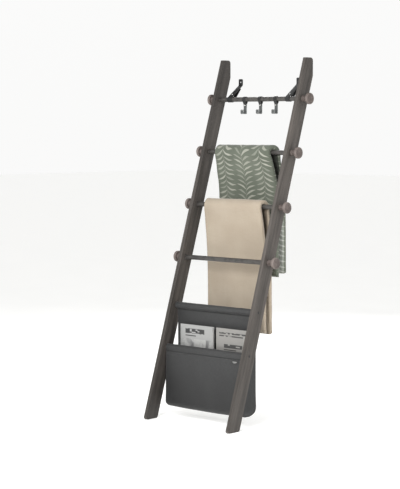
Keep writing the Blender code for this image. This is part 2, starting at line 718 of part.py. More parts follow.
def make_magazines():
    rear = rail_y(BAR_HEIGHTS[0]) - SLEEVE_RADIUS - MAGAZINE_SLEEVE_GAP
    floor = magazine_floor(rear)
    height = BAR_HEIGHTS[1] + MAGAZINE_SHOWS - floor
    pocket_half = BAG_HALF_WIDTH - BAG_FABRIC
    gaps = MAGAZINE_LEFT_GAP + MAGAZINE_MIDDLE_GAP + MAGAZINE_SIDE_GAP
    width = 0.5 * (2.0 * pocket_half - gaps)
    left_middle = -pocket_half + MAGAZINE_LEFT_GAP + 0.5 * width
    middles = (left_middle, left_middle + width + MAGAZINE_MIDDLE_GAP)
    for (word, _), middle_x in zip(SIDES, middles):
        place = (middle_x, rear - 0.5 * MAGAZINE_THICKNESS, floor + 0.5 * height)
        size = (width, MAGAZINE_THICKNESS, height)
        magazine = block(f"magazine_{word}", place, size, "paper")
        bevel = magazine.modifiers.new("Edges", "BEVEL")
        bevel.width = MAGAZINE_EDGE
        bevel.segments = 1


# ---------------------------------------------------------------- assembly
make_rails()
make_crosspieces()
for bracket_word, bracket_side in SIDES:
    make_bracket(bracket_word, bracket_side)
for hook_index in range(HOOK_COUNT):
    offset_steps = hook_index - 0.5 * (HOOK_COUNT - 1)
    make_hook(hook_index + 1, HOOK_OFFSET + offset_steps * HOOK_SPACING)
make_bag()
make_cloths()
make_magazines()
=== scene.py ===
"""Looks of a leaning ladder rack with a folded quilt, a folded throw and a hanging magazine bag.

Metres, +Z up, +X to the right of someone who faces the rack, +Y towards the wall.
Places come from the frame's nodes; outlines in the (y, z) plane are 2D vectors (y, z).
"""

from math import acos, atan2, ceil, cos, exp, pi, radians, sin, sqrt, tan

import bmesh
import bpy
import numpy as np
from mathutils import Matrix, Vector, noise


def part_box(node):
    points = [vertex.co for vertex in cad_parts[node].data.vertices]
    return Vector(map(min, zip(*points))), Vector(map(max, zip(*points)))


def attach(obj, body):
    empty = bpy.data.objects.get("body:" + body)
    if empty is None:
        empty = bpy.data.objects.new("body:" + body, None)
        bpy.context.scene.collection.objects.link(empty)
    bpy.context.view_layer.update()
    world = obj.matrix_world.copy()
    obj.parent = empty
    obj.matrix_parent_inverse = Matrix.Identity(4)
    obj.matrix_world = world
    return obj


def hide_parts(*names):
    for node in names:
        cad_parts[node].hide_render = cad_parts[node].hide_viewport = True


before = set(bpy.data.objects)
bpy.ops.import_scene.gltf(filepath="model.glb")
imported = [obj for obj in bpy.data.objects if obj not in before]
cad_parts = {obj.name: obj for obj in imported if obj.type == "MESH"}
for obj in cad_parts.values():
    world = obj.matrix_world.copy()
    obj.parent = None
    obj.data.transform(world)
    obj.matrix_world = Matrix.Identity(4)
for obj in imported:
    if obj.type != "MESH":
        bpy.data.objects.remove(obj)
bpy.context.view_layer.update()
SCENE = bpy.context.scene

# ---------------------------------------------------------------- camera and light
CAMERA_PLACE = (4.865, -5.3642, 1.3345)
CAMERA_TURN = radians(42.0)        # to the right of straight ahead
CAMERA_PITCH = radians(4.0)        # looking down
CAMERA_LENS = 117.12               # millimetres, on a 36 mm sensor
CAMERA_SHIFT = (-0.0693, -0.0127)
FLOOR_SIZE = 60.0

# ---------------------------------------------------------------- sizes the frame does not state
TOUCH_GAP = 0.0003                 # between two pieces that touch
BOLT_RADIUS = 0.003
DRAPE_CLEARANCE = 0.0025
RAIL_EDGE = 0.0012
TUBE_WALL = 0.0015
STRAP_THICKNESS = 0.002
TAB_LENGTH = 0.030
TAB_HOLE_RADIUS = 0.0032
TAB_BEND_RADIUS = 0.006
REAR_LEG_SHARE = 0.80
EAR_LENGTH = 0.009
EAR_END_WIDTH = 0.0138
KNOB_DOME = 0.003
KNOB_HEAD_THICKNESS = 0.014
KNOB_NECK_RADIUS = 0.0145
KNOB_EDGE_RADIUS = 0.004
BLADE_THICKNESS = 0.003
BLADE_BEND_RADIUS = 0.0042
BLADE_FLARE = 1.16                 # how much wider the blade is rolled than its blank
BLADE_LIP = 0.0205
BAG_FABRIC = 0.0022
BAG_FRONT_RADIUS = 0.025
BAG_BACK_RADIUS = 0.042
SLEEVE_DROP = 0.0185
SEAM_GROOVE = 0.005                # how far the upper seam is pulled in behind the back panel
SEAM_REACH = 0.0088                # from the lower bar's axis forward to its seam
BAG_SIDE_SEAM = 0.0065             # in from the panel's edge
BAG_HEM_SEAM = 0.0085              # below the side piece's top
BAG_STITCH = (0.0042, 0.0029, 0.00036)      # spacing, length, thread radius
CLOTH_STITCH = (0.0052, 0.0036, 0.00045)    # spacing, length, thread radius
FRONT_KNEE_DROP = 0.024            # below the seam, where the front's rows get wider
FRONT_SETBACK = 0.0042
SIDES = (("left", -1), ("right", 1))
RUNG_NUMBERS = (1, 2, 3, 4)


# ---------------------------------------------------------------- places read from the frame
def middle(node):
    low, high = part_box(node)
    return 0.5 * (low + high)


def size(node):
    low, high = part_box(node)
    return high - low


def axis_of(node):
    """Where a tube's axis crosses the (y, z) plane."""
    place = middle(node)
    return Vector((place.y, place.z))


RUNG_AXES = {number: axis_of(f"rung_{number}") for number in RUNG_NUMBERS}
BAR_AXES = {level: axis_of(f"bag_bar_{level}") for level in ("upper", "lower")}
TUBE_RADIUS = 0.5 * size("rung_1").z
TUBE_HALF = 0.5 * size("rung_1").x
RAIL_RUN = RUNG_AXES[1] - RUNG_AXES[4]
LEAN = atan2(RAIL_RUN.x, RAIL_RUN.y)
WALL_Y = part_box("left_rail")[1].y
RAIL_OUTER_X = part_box("right_rail")[1].x
LOOP_RADIUS = TUBE_RADIUS + TOUCH_GAP + 0.5 * STRAP_THICKNESS


# ---------------------------------------------------------------- node materials
class Look:
    """A node material, built up with short calls; fixed values go on the shader's own sockets."""

    def __init__(self, name, **fixed):
        self.material = bpy.data.materials.new(name)
        self.material.use_nodes = True
        self.tree = self.material.node_tree
        self.shader = self.tree.nodes["Principled BSDF"]
        for socket, value in fixed.items():
            self.shader.inputs[socket.replace("_", " ")].default_value = value

    def feed(self, socket, value):
        if isinstance(value, bpy.types.NodeSocket):
            self.tree.links.new(value, socket)
        else:
            socket.default_value = value

    def node(self, kind, values=(), **settings):
        made = self.tree.nodes.new("ShaderNode" + kind)
        for name, value in settings.items():
            setattr(made, name, value)
        for key, value in dict(values).items():
            self.feed(made.inputs[key], value)
        return made

    def math(self, operation, a, b=0.0, clamp=False):
        made = self.node("Math", {0: a, 1: b}, operation=operation, use_clamp=clamp)
        return made.outputs[0]

    def object_place(self, scale=(1, 1, 1), turn=None):
        """The piece's own coordinates, turned and then scaled."""
        place = self.node("TexCoord").outputs["Object"]
        if turn:
            place = self.node("Mapping", {"Vector": place, "Rotation": turn}).outputs[0]
        return self.scaled(place, scale)

    def scaled(self, vector, scale):
        return self.node("Mapping", {"Vector": vector, "Scale": scale}).outputs[0]

    def uv(self):
        return self.node("UVMap", uv_map="cloth").outputs[0]

    def split(self, vector):
        return self.node("SeparateXYZ", {"Vector": vector}).outputs

    def attribute(self, name):
        return self.node("Attribute", attribute_name=name).outputs["Fac"]

    def noise(self, vector, scale=1.0, detail=2.0, roughness=0.5, distortion=0.0):
        values = {"Vector": vector, "Scale": scale, "Detail": detail}
        values.update({"Roughness": roughness, "Distortion": distortion})
        return self.node("TexNoise", values).outputs["Fac"]

    def between(self, value, low, high, to_low=0.0, to_high=1.0):
        """Map low..high onto to_low..to_high, clamped, with soft ends."""
        values = {"Value": value, "From Min": low, "From Max": high}
        values.update({"To Min": to_low, "To Max": to_high})
        return self.node("MapRange", values, interpolation_type="SMOOTHSTEP").outputs[0]

    def blend(self, share, a, b, how="MIX"):
        made = self.node("Mix", data_type="RGBA", blend_type=how)
        for index, value in ((0, share), (6, a), (7, b)):
            if isinstance(value, tuple):
                value = (*value, 1.0)
            self.feed(made.inputs[index], value)
        return made.outputs[2]

    def bump(self, height, distance, under=None):
        values = {"Height": height, "Distance": distance, "Strength": 1.0}
        if under is not None:
            values["Normal"] = under
        return self.node("Bump", values).outputs[0]

    def finish(self, colour=None, roughness=None, normal=None):
        for name, value in (("Base Color", colour), ("Roughness", roughness), ("Normal", normal)):
            if value is not None:
                self.feed(self.shader.inputs[name], value)
        return self.material


def wood_look(name, dark, light, edge, turn, cross_scale=1.0):
    """Stained open-pored wood whose grain runs along local Z after a turn."""
    look = Look(name, IOR=1.46)
    s = cross_scale
    figure = look.noise(look.object_place((46 * s, 46 * s, 2.0), turn), 1.0, 5.0, 0.62, 0.9)
    streak = look.noise(look.object_place((230 * s, 230 * s, 5.0), turn), 1.0, 3.0, 0.6)
    pores = look.noise(look.object_place((620 * s, 620 * s, 24.0), turn), 1.0, 2.0, 0.7)
    clouds = look.noise(look.object_place((7, 7, 1.6), turn), 1.0, 2.0)
    tone = look.math("ADD", look.math("MULTIPLY", figure, 0.75), look.math("MULTIPLY", streak, 0.42))
    tone = look.math("ADD", tone, look.math("MULTIPLY", clouds, 0.35))
    colour = look.blend(look.between(tone, 0.50, 1.02), dark, light)
    warm = look.blend(look.between(clouds, 0.46, 0.70), colour, tuple(1.25 * c for c in edge))
    colour = look.blend(look.between(streak, 0.45, 0.75, 0.0, 0.35), colour, warm)
    pore = look.between(pores, 0.58, 0.70)
    colour = look.blend(look.math("MULTIPLY", pore, 0.55), colour, tuple(0.35 * c for c in dark))
    worn = look.math("MULTIPLY", look.attribute("wear"), look.between(clouds, 0.3, 0.7, 0.25, 0.8))
    colour = look.blend(worn, colour, edge)
    roughness = look.between(streak, 0.3, 0.7, 0.50, 0.66)
    relief = look.math("SUBTRACT", look.math("MULTIPLY", streak, 0.5), pore)
    return look.finish(colour, roughness, look.bump(relief, 0.00022))


def metal_look(name, colour, worn_colour, roughness, metallic, brushed=None, coat=0.0):
    """Coated or bare metal: fine orange peel or brushing, faint dust and rubbed edges."""
    look = Look(name, Metallic=metallic, Coat_Weight=coat, Coat_Roughness=0.3)
    fine = look.noise(look.object_place(brushed or (900, 900, 900)), 1.0, 2.0, 0.6)
    broad = look.noise(look.object_place((38, 38, 38)), 1.0, 3.0)
    dusty = look.blend(look.between(broad, 0.42, 0.72, 0.0, 0.30), colour, worn_colour)
    rubbed = look.math("MULTIPLY", look.attribute("wear"), look.between(broad, 0.35, 0.6, 0.15, 0.85))
    tint = look.blend(rubbed, dusty, worn_colour)
    rough = look.math("ADD", look.between(broad, 0.3, 0.7, -0.05, 0.07), roughness)
    rough = look.math("ADD", rough, look.between(fine, 0.3, 0.7, -0.04, 0.04))
    return look.finish(tint, rough, look.bump(fine, 0.00003 if brushed is None else 0.00006))


def weave_height(look, uv, pitch):
    """Plain weave: 1 where a thread rises, 0 where it dips."""
    u, v, _ = look.split(look.scaled(uv, (pi / pitch, pi / pitch, 1.0)))
    over = look.math("MULTIPLY", look.math("SINE", u), look.math("SINE", v))
    return look.math("ADD", look.math("MULTIPLY", over, 0.5), 0.5)


def canvas_look():
    """Charcoal melange canvas."""
    look = Look("bag_canvas", Sheen_Weight=0.08, Sheen_Roughness=0.6, IOR=1.42)
    uv = look.uv()
    weave = weave_height(look, uv, 0.0011)
    warp = look.noise(look.scaled(uv, (1400.0, 60.0, 1.0)), 1.0, 2.0, 0.6)
    weft = look.noise(look.scaled(uv, (60.0, 1400.0, 1.0)), 1.0, 2.0, 0.6)
    melange = look.math("ADD", look.math("MULTIPLY", warp, 0.5), look.math("MULTIPLY", weft, 0.5))
    broad = look.noise(look.object_place((9, 9, 9)), 1.0, 3.0)
    colour = look.blend(look.between(melange, 0.36, 0.64), (0.0155, 0.0158, 0.0162), (0.039, 0.0395, 0.040))
    colour = look.blend(look.between(broad, 0.35, 0.7, 0.0, 0.35), colour, (0.036, 0.036, 0.0362))
    # Painted shade: the canvas darker towards the bottom and towards the left, where less light falls.
    aside, _, height = look.split(look.object_place())
    painted_light_tone = look.between(height, 0.05, 0.34, 0.76, 0.0)
    painted_light_tone = look.math("ADD", painted_light_tone, look.between(aside, -0.24, 0.10, 0.30, 0.0), clamp=True)
    colour = look.blend(painted_light_tone, colour, (0.0072, 0.0073, 0.0075))
    # Painted shade: near-black in the two sleeve seams and on the top of the rolls.
    colour = look.blend(look.attribute("painted_shade"), colour, (0.0035, 0.0035, 0.0036))
    rub = look.math("MULTIPLY", look.attribute("wear"), 0.35)
    colour = look.blend(rub, colour, (0.062, 0.062, 0.063))
    relief = look.math("ADD", weave, look.math("MULTIPLY", melange, 0.6))
    roughness = look.between(weave, 0.0, 1.0, 0.72, 0.52)
    return look.finish(colour, roughness, look.bump(relief, 0.00016))


def leaf_look(columns):
    """Sage cloth with sprays of curved off-white leaflets, woven a little proud."""
    look = Look("quilt_cotton", Sheen_Weight=0.15, Sheen_Roughness=0.5, IOR=1.42)
    uv = look.uv()
    drift = look.noise(look.scaled(uv, (14.0, 14.0, 1.0)), 1.0, 2.0)
    u, v, _ = look.split(uv)
    across = look.math("DIVIDE", look.math("SUBTRACT", u, columns["first"]), columns["pitch"])
    across = look.math("ADD", across, look.math("MULTIPLY", look.math("SUBTRACT", drift, 0.5), 0.10))
    column = look.math("ROUND", across)
    off = look.math("MULTIPLY", look.math("SUBTRACT", across, column), columns["pitch"])
    reach = look.math("ABSOLUTE", off)
    side = look.math("SIGN", off)
    flip = look.math("SUBTRACT", 1.0, look.math("MULTIPLY", look.math("PINGPONG", column, 1.0), 2.0))
    fall = look.math("EXPONENT", look.math("DIVIDE", reach, -columns["bend"]))
    rise = look.math("MULTIPLY", look.math("SUBTRACT", 1.0, fall), columns["rise"])
    line = look.math("ADD", v, look.math("MULTIPLY", rise, flip))
    step = look.math("DIVIDE", line, columns["step"])
    step = look.math("ADD", step, look.math("MULTIPLY", side, 0.12))
    step = look.math("ADD", step, look.math("MULTIPLY", drift, 0.9))
    phase = look.math("SUBTRACT", look.math("FRACT", step), 0.5)
    gap = look.math("MULTIPLY", look.math("ABSOLUTE", phase), columns["step"])
    tag = look.node("CombineXYZ", {0: look.math("FLOOR", step), 1: column, 2: side}).outputs[0]
    chance = look.node("TexWhiteNoise", {"Vector": tag}, noise_dimensions="3D").outputs["Value"]
    leaf_end = look.math("MULTIPLY", look.math("ADD", 0.88, look.math("MULTIPLY", chance, 0.2)),
                         columns["leaf"])
    along = look.math("DIVIDE", reach, leaf_end, clamp=True)
    shape = look.math("SINE", look.math("MULTIPLY", look.math("POWER", along, 0.75), pi))
    half = look.math("MULTIPLY", shape, columns["half_width"])
    leaf = look.between(look.math("SUBTRACT", half, gap), -0.0006, 0.0008)
    spine = look.between(reach, 0.0011, 0.0005)
    mark = look.math("MAXIMUM", leaf, look.math("MULTIPLY", spine, 0.55), clamp=True)
    thread = look.noise(look.scaled(uv, (900.0, 160.0, 1.0)), 1.0, 2.0, 0.6)
    broad = look.noise(look.object_place((8, 8, 8)), 1.0, 3.0)
    ground = look.blend(look.between(broad, 0.3, 0.7), (0.088, 0.100, 0.076), (0.118, 0.130, 0.102))
    ground = look.blend(look.between(thread, 0.35, 0.65, 0.0, 0.4), ground, (0.070, 0.080, 0.060))
    white = look.blend(chance, (0.175, 0.187, 0.152), (0.310, 0.312, 0.265))
    cover = look.math("MULTIPLY", mark, look.between(thread, 0.25, 0.6, 0.70, 1.0))
    colour = look.blend(cover, ground, white)
    colour = look.blend(look.math("MULTIPLY", look.attribute("stitch"), 0.6), colour,
                        (0.060, 0.068, 0.050))
    # The inner ply's lower part is paler: partly the back's own paler colour, partly painted light where
    # light reaches it through the gap.
    painted_light_tone = look.blend(mark, (0.310, 0.328, 0.290), (0.560, 0.565, 0.535))
    colour = look.blend(look.attribute("pale_back_and_painted_light"), colour, painted_light_tone)
    # Painted shade: the inner ply near the rung darkened almost to black, where the fold is shaded.
    colour = look.blend(look.math("MULTIPLY", look.attribute("painted_shade"), 0.94), colour, (0.012, 0.014, 0.010))
    weave = look.math("MULTIPLY", weave_height(look, uv, 0.0013), 0.22)
    relief = look.math("ADD", weave, look.math("MULTIPLY", mark, 0.8))
    return look.finish(colour, 0.88, look.bump(relief, 0.0007))


def wool_look():
    """Beige brushed wool: a soft twill under a nap."""
    look = Look("throw_wool", Sheen_Weight=0.25, Sheen_Roughness=0.45, IOR=1.4)
    uv = look.uv()
    u, v, _ = look.split(uv)
    twill = look.math("SINE", look.math("MULTIPLY", look.math("ADD", u, v), 2 * pi / 0.0034))
    twill = look.math("ADD", look.math("MULTIPLY", twill, 0.5), 0.5)
    nap = look.noise(look.scaled(uv, (900.0, 420.0, 1.0)), 1.0, 4.0, 0.7, 0.8)
    slub = look.noise(look.scaled(uv, (26.0, 420.0, 1.0)), 1.0, 2.0, 0.5)
    rib = look.noise(look.scaled(uv, (240.0, 7.0, 1.0)), 1.0, 2.0, 0.5)
    broad = look.noise(look.object_place((6, 6, 6)), 1.0, 2.0)
    colour = look.blend(look.between(broad, 0.3, 0.7), (0.298, 0.246, 0.186), (0.350, 0.295, 0.228))
    colour = look.blend(look.between(nap, 0.35, 0.7, 0.0, 0.35), colour, (0.40, 0.35, 0.285))
    colour = look.blend(look.between(slub, 0.50, 0.75, 0.0, 0.30), colour, (0.270, 0.220, 0.163))
    colour = look.blend(look.between(rib, 0.50, 0.75, 0.0, 0.22), colour, (0.290, 0.238, 0.178))
    colour = look.blend(look.math("MULTIPLY", look.attribute("stitch"), 0.5), colour,
                        (0.23, 0.185, 0.135))
    # Painted shade: dark brown on the inner ply near the rung, where the fold is shaded.
    colour = look.blend(look.math("MULTIPLY", look.attribute("painted_shade"), 0.75), colour, (0.060, 0.044, 0.028))
    relief = look.math("ADD", look.math("MULTIPLY", twill, 0.35), nap)
    return look.finish(colour, 0.94, look.bump(relief, 0.0006))


def paper_edge_look():
    """Cut edges of a block of coated paper."""
    look = Look("paper_block", IOR=1.45)
    leaves = look.noise(look.object_place((6, 4200, 6)), 1.0, 2.0, 0.6)
    colour = look.blend(look.between(leaves, 0.35, 0.65), (0.26, 0.255, 0.24), (0.46, 0.455, 0.435))
    return look.finish(colour, 0.75, look.bump(leaves, 0.0002))


def cover_look(name, paper, ink, bars, picture, seed):
    """Magazine cover with plain bars where print would be, and a cloudy grey picture."""
    look = Look(name, Coat_Weight=0.35, Coat_Roughness=0.18, IOR=1.45)
    uv = look.uv()
    u, v, _ = look.split(uv)

    def inside(value, low, high, soft=0.004):
        rise = look.between(value, low - soft, low + soft)
        drop = look.between(value, high - soft, high + soft, 1.0, 0.0)
        return look.math("MULTIPLY", rise, drop)

    cells = look.math("FLOOR", look.math("MULTIPLY", u, 17.0))
    rows = look.math("FLOOR", look.math("MULTIPLY", v, 60.0))
    tag = look.node("CombineXYZ", {0: cells, 1: rows, 2: seed}).outputs[0]
    chance = look.node("TexWhiteNoise", {"Vector": tag}, noise_dimensions="3D").outputs["Value"]
    low, high = picture
    cloud = look.noise(look.scaled(uv, (9.0, 12.0, 1.0)), 1.0, 6.0, 0.65, 2.2)
    arcs = look.node("TexWave", {"Vector": look.scaled(uv, (1.0, 1.3, 1.0)), "Scale": 1.3,
                                 "Distortion": 7.0, "Detail": 2.0}).outputs["Fac"]
    soft = look.noise(look.scaled(uv, (3.0, 3.6, 1.0)), 1.0, 3.0, 0.5, 0.8)
    shot = look.blend(look.between(soft, 0.34, 0.60), (0.120, 0.120, 0.122), (0.36, 0.36, 0.35))
    level = look.math("FRACT", look.math("MULTIPLY", cloud, 7.0))
    contour = look.math("ABSOLUTE", look.math("SUBTRACT", level, 0.5))
    sketch = look.math("MULTIPLY", look.between(contour, 0.10, 0.02), look.between(arcs, 0.3, 0.7, 0.25, 0.8))
    shot = look.blend(sketch, shot, (0.055, 0.055, 0.056))
    frame_area = look.math("MULTIPLY", inside(u, 0.07, 0.93), inside(v, low, high))
    colour = look.blend(frame_area, paper, shot)
    for left, right, bottom, top, gappy in bars:
        area = look.math("MULTIPLY", inside(u, left, right), inside(v, bottom, top, 0.0015))
        if gappy:
            area = look.math("MULTIPLY", area, look.between(chance, 0.16, 0.20))
        colour = look.blend(area, colour, ink)
    return look.finish(colour, 0.34)


def label_look():
    """Woven tag, dark with fine woven rows, and two short pale bars."""
    look = Look("label_weave")
    uv = look.uv()
    u, v, _ = look.split(uv)
    rows = look.math("SINE", look.math("MULTIPLY", v, 2 * pi * 26.0))
    bar_a = look.math("MULTIPLY", look.between(v, 0.52, 0.56), look.between(v, 0.72, 0.76, 1.0, 0.0))
    bar_b = look.math("MULTIPLY", look.between(v, 0.26, 0.29), look.between(v, 0.38, 0.41, 1.0, 0.0))
    wide = look.math("MULTIPLY", look.between(u, 0.18, 0.21), look.between(u, 0.79, 0.82, 1.0, 0.0))
    short = look.math("MULTIPLY", look.between(u, 0.30, 0.33), look.between(u, 0.67, 0.70, 1.0, 0.0))
    ink = look.math("MAXIMUM", look.math("MULTIPLY", bar_a, wide), look.math("MULTIPLY", bar_b, short))
    colour = look.blend(look.between(rows, -1.0, 1.0), (0.016, 0.016, 0.016), (0.030, 0.030, 0.029))
    colour = look.blend(ink, colour, (0.30, 0.30, 0.29))
    return look.finish(colour, 0.7, look.bump(rows, 0.00008))


def thread_look(name, dark, light):
    look = Look(name, Sheen_Weight=0.3)
    twist = look.noise(look.object_place((1600, 1600, 1600)), 1.0, 2.0)
    return look.finish(look.blend(look.between(twist, 0.3, 0.7), dark, light), 0.75)


def floor_look():
    look = Look("floor_paper", Emission_Color=(1, 1, 0.99, 1), Emission_Strength=0.17)
    fine = look.noise(look.object_place((3, 3, 3)), 1.0, 3.0)
    return look.finish(look.blend(look.between(fine, 0.3, 0.7), (0.93, 0.93, 0.92), (0.955, 0.955, 0.945)),
                       0.9)


GRAIN_TURN = (LEAN, 0.0, 0.0)      # brings the rails' length onto local Z
LEAVES = {"pitch": 0.118, "step": 0.0232, "leaf": 0.057, "rise": 0.025, "bend": 0.021,
          "half_width": 0.0047, "first": 0.054}
LOOKS = {
    "walnut": wood_look("walnut", (0.0225, 0.0190, 0.0160), (0.082, 0.071, 0.063),
                        (0.110, 0.092, 0.082), GRAIN_TURN),
    # Painted shade: a darker copy of the walnut for the left rail, which stands in more shade.
    "walnut_dark": wood_look("walnut_painted_shade_board", (0.0165, 0.0140, 0.0118), (0.060, 0.052, 0.046),
                             (0.104, 0.088, 0.079), GRAIN_TURN),
    "knob_wood": wood_look("knob_walnut", (0.055, 0.042, 0.037), (0.140, 0.114, 0.104),
                           (0.175, 0.145, 0.132), (0.0, 0.35, 0.0), 1.6),
    "rung_steel": metal_look("rung_coat", (0.032, 0.030, 0.029), (0.072, 0.067, 0.062), 0.40, 0.35,
                             coat=0.25),
    "black_steel": metal_look("black_coat", (0.008, 0.0083, 0.0087), (0.040, 0.040, 0.039), 0.44, 0.2,
                              coat=0.2),
    "hook_steel": metal_look("hook_brushed", (0.120, 0.125, 0.125), (0.30, 0.31, 0.305), 0.36, 0.85,
                             brushed=(90, 2200, 90)),
    "bright_steel": metal_look("zinc_plate", (0.60, 0.60, 0.58), (0.78, 0.78, 0.76), 0.28, 1.0),
    "bag_fabric": canvas_look(),
    "quilt_cloth": leaf_look(LEAVES),
    "throw_cloth": wool_look(),
    "paper": paper_edge_look(),
    "label": label_look(),
    "bag_thread": thread_look("bag_thread", (0.014, 0.014, 0.0145), (0.050, 0.051, 0.052)),
    "quilt_thread": thread_look("quilt_thread", (0.13, 0.145, 0.115), (0.22, 0.235, 0.20)),
    "throw_thread": thread_look("throw_thread", (0.28, 0.23, 0.175), (0.42, 0.36, 0.29)),
}


# ---------------------------------------------------------------- mesh helpers
def add_piece(name, mesh, look, body, stands_for=()):
    """Link a mesh as a piece, with its material, body, slot and the CAD nodes it stands for."""
    obj = bpy.data.objects.new(name, mesh)
    SCENE.collection.objects.link(obj)
    mesh.materials.clear()
    mesh.materials.append(LOOKS.get(look) or bpy.data.materials[look])
    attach(obj, body)
    if stands_for:
        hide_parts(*stands_for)
    return obj


def new_mesh(name, points, faces, smooth_angle=35.0):
    mesh = bpy.data.meshes.new(name)
    mesh.from_pydata([tuple(p) for p in points], [], faces)
    mesh.validate()
    shape = bmesh.new()
    shape.from_mesh(mesh)
    bmesh.ops.recalc_face_normals(shape, faces=shape.faces)
    shape.to_mesh(mesh)
    shape.free()
    mesh.shade_smooth()
    mesh.set_sharp_from_angle(angle=radians(smooth_angle))
    return mesh


def settled(mesh, *modifiers):
    """The mesh after some modifiers, each given as (kind, settings)."""
    carrier = bpy.data.objects.new("carrier", mesh)
    SCENE.collection.objects.link(carrier)
    for kind, settings in modifiers:
        modifier = carrier.modifiers.new(kind, kind)
        for key, value in settings.items():
            setattr(modifier, key, value)
    graph = bpy.context.evaluated_depsgraph_get()
    result = bpy.data.meshes.new_from_object(carrier.evaluated_get(graph))
    result.name = mesh.name
    bpy.data.objects.remove(carrier, do_unlink=True)
    return result


def mark_wear(mesh, flat_area):
    """Write the attribute wear: 1 on small bevel faces, 0 where a corner touches a broad face."""
    broad = [False] * len(mesh.vertices)
    for face in mesh.polygons:
        if face.area > flat_area:
            for index in face.vertices:
                broad[index] = True
    attribute = mesh.attributes.new("wear", "FLOAT", "POINT")
    attribute.data.foreach_set("value", [0.0 if flag else 1.0 for flag in broad])
    return mesh


def bevelled(mesh, width, flat_area, segments=3, angle=30.0):
    """Round every edge sharper than an angle and mark the rounded edges as worn."""
    settings = {"width": width, "segments": segments, "limit_method": "ANGLE",
                "angle_limit": radians(angle), "use_clamp_overlap": True}
    mesh = settled(mesh, ("BEVEL", settings))
    mesh.shade_smooth()
    mesh.set_sharp_from_angle(angle=radians(50))
    return mark_wear(mesh, flat_area)


def arc(centre, radius, start, end, steps):
    """Points on an arc; angles are measured from the first axis towards the second."""
    angles = [start + (end - start) * k / steps for k in range(steps + 1)]
    return [Vector((centre[0] + radius * cos(a), centre[1] + radius * sin(a))) for a in angles]


def touch_angle(radius, point, turn):
    """Angle on a circle round (0, 0) where the straight line from a point just touches it."""
    return atan2(point.y, point.x) + turn * acos(radius / point.length)


def turned(name, profile, steps=64, smooth_angle=35.0):
    """Turn (radius, height) points, listed from the top down the outer side, round local Z."""
    points, faces, rings = [], [], []
    for radius, height in profile:
        if radius < 1e-7:
            rings.append([len(points)])
            points.append((0.0, 0.0, height))
            continue
        rings.append(range(len(points), len(points) + steps))
        points += [(radius * cos(2 * pi * k / steps), radius * sin(2 * pi * k / steps), height)
                   for k in range(steps)]
    closed = profile[0][0] > 1e-7
    pairs = list(zip(rings, rings[1:])) + ([(rings[-1], rings[0])] if closed else [])
    for above, below in pairs:
        for k in range(steps):
            after = (k + 1) % steps
            if len(above) == 1:
                faces.append((above[0], below[k], below[after]))
            elif len(below) == 1:
                faces.append((above[after], above[k], below[0]))
            else:
                faces.append((above[k], below[k], below[after], above[after]))
    return new_mesh(name, points, faces, smooth_angle)


def point_z_along(obj, place, direction):
    obj.matrix_world = (Matrix.Translation(place)
                        @ Vector(direction).to_track_quat("Z", "Y").to_matrix().to_4x4())


def add_turned(name, profile, place, direction, look, body, stands_for=(), cuts=(), steps=64):
    """A turned piece at a place, its local Z along a direction, with optional cutters."""
    mesh = turned(name, profile, steps)
    for cutter in cuts:
        mesh = cut_by(mesh, cutter)
    mark_wear(mesh, 1.0)
    radius = max(r for r, _ in profile)
    edge = [1.0 if (v.co.xy.length > 0.86 * radius) else 0.0 for v in mesh.vertices]
    mesh.attributes["wear"].data.foreach_set("value", edge)
    obj = bpy.data.objects.new(name, mesh)
    SCENE.collection.objects.link(obj)
    mesh.materials.clear()
    mesh.materials.append(LOOKS[look])
    point_z_along(obj, place, direction)
    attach(obj, body)
    if stands_for:
        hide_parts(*stands_for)
    return obj


def cut_by(mesh, cutter_mesh):
    """Subtract a closed mesh from another, with the exact solver."""
    cutter = bpy.data.objects.new("cutter", cutter_mesh)
    SCENE.collection.objects.link(cutter)
    result = settled(mesh, ("BOOLEAN", {"operation": "DIFFERENCE", "solver": "EXACT",
                                        "object": cutter}))
    bpy.data.objects.remove(cutter, do_unlink=True)
    result.shade_smooth()
    result.set_sharp_from_angle(angle=radians(35))
    return result


def peg_mesh(radius, low, high, steps=24, matrix=None):
    """A plain cylinder along local Z, for cutting."""
    mesh = turned("peg", [(0, high), (radius, high), (radius, low), (0, low)], steps)
    if matrix is not None:
        mesh.transform(matrix)
    return mesh


def joined(name, meshes):
    """One mesh of several separate closed meshes."""
    shape = bmesh.new()
    for mesh in meshes:
        shape.from_mesh(mesh)
    mesh = bpy.data.meshes.new(name)
    shape.to_mesh(mesh)
    shape.free()
    return mesh


def swept_bar(name, path, widths, thickness, edge, origin, middle_x):
    """A flat bar of rounded section swept along a (y, z) path; widths are along X."""
    corner = [(cos(a), sin(a)) for a in (0.0, pi / 6, pi / 3, pi / 2)]
    signs = ((1, 1, corner), (-1, 1, corner[::-1]), (-1, -1, corner), (1, -1, corner[::-1]))
    points, faces = [], []
    last = len(path) - 1
    count = 4 * len(corner)
    for i, (point, width) in enumerate(zip(path, widths)):
        along = (path[min(i + 1, last)] - path[max(i - 1, 0)]).normalized()
        across = Vector((-along.y, along.x))
        for sign_x, sign_n, turn in signs:
            for a, b in turn:
                x = sign_x * (0.5 * width - edge + edge * a)
                n = sign_n * (0.5 * thickness - edge + edge * b)
                place = origin + point + across * n
                points.append((middle_x + x, place.x, place.y))
        if i:
            low = (i - 1) * count
            faces += [(low + k, low + (k + 1) % count, low + count + (k + 1) % count,
                       low + count + k) for k in range(count)]
    faces.append(tuple(range(count)))
    faces.append(tuple(last * count + k for k in range(count - 1, -1, -1)))
    mesh = new_mesh(name, points, faces, 40.0)
    return mark_wear(mesh, 0.4 * max(widths) * thickness)


def resampled(path, spacing):
    """The same open path with evenly spaced points."""
    lengths = [0.0]
    for a, b in zip(path, path[1:]):
        lengths.append(lengths[-1] + (b - a).length)
    count = max(2, ceil(lengths[-1] / spacing) + 1)
    places = np.linspace(0.0, lengths[-1], count)
    ys = np.interp(places, lengths, [p.x for p in path])
    zs = np.interp(places, lengths, [p.y for p in path])
    return [Vector((y, z)) for y, z in zip(ys, zs)]


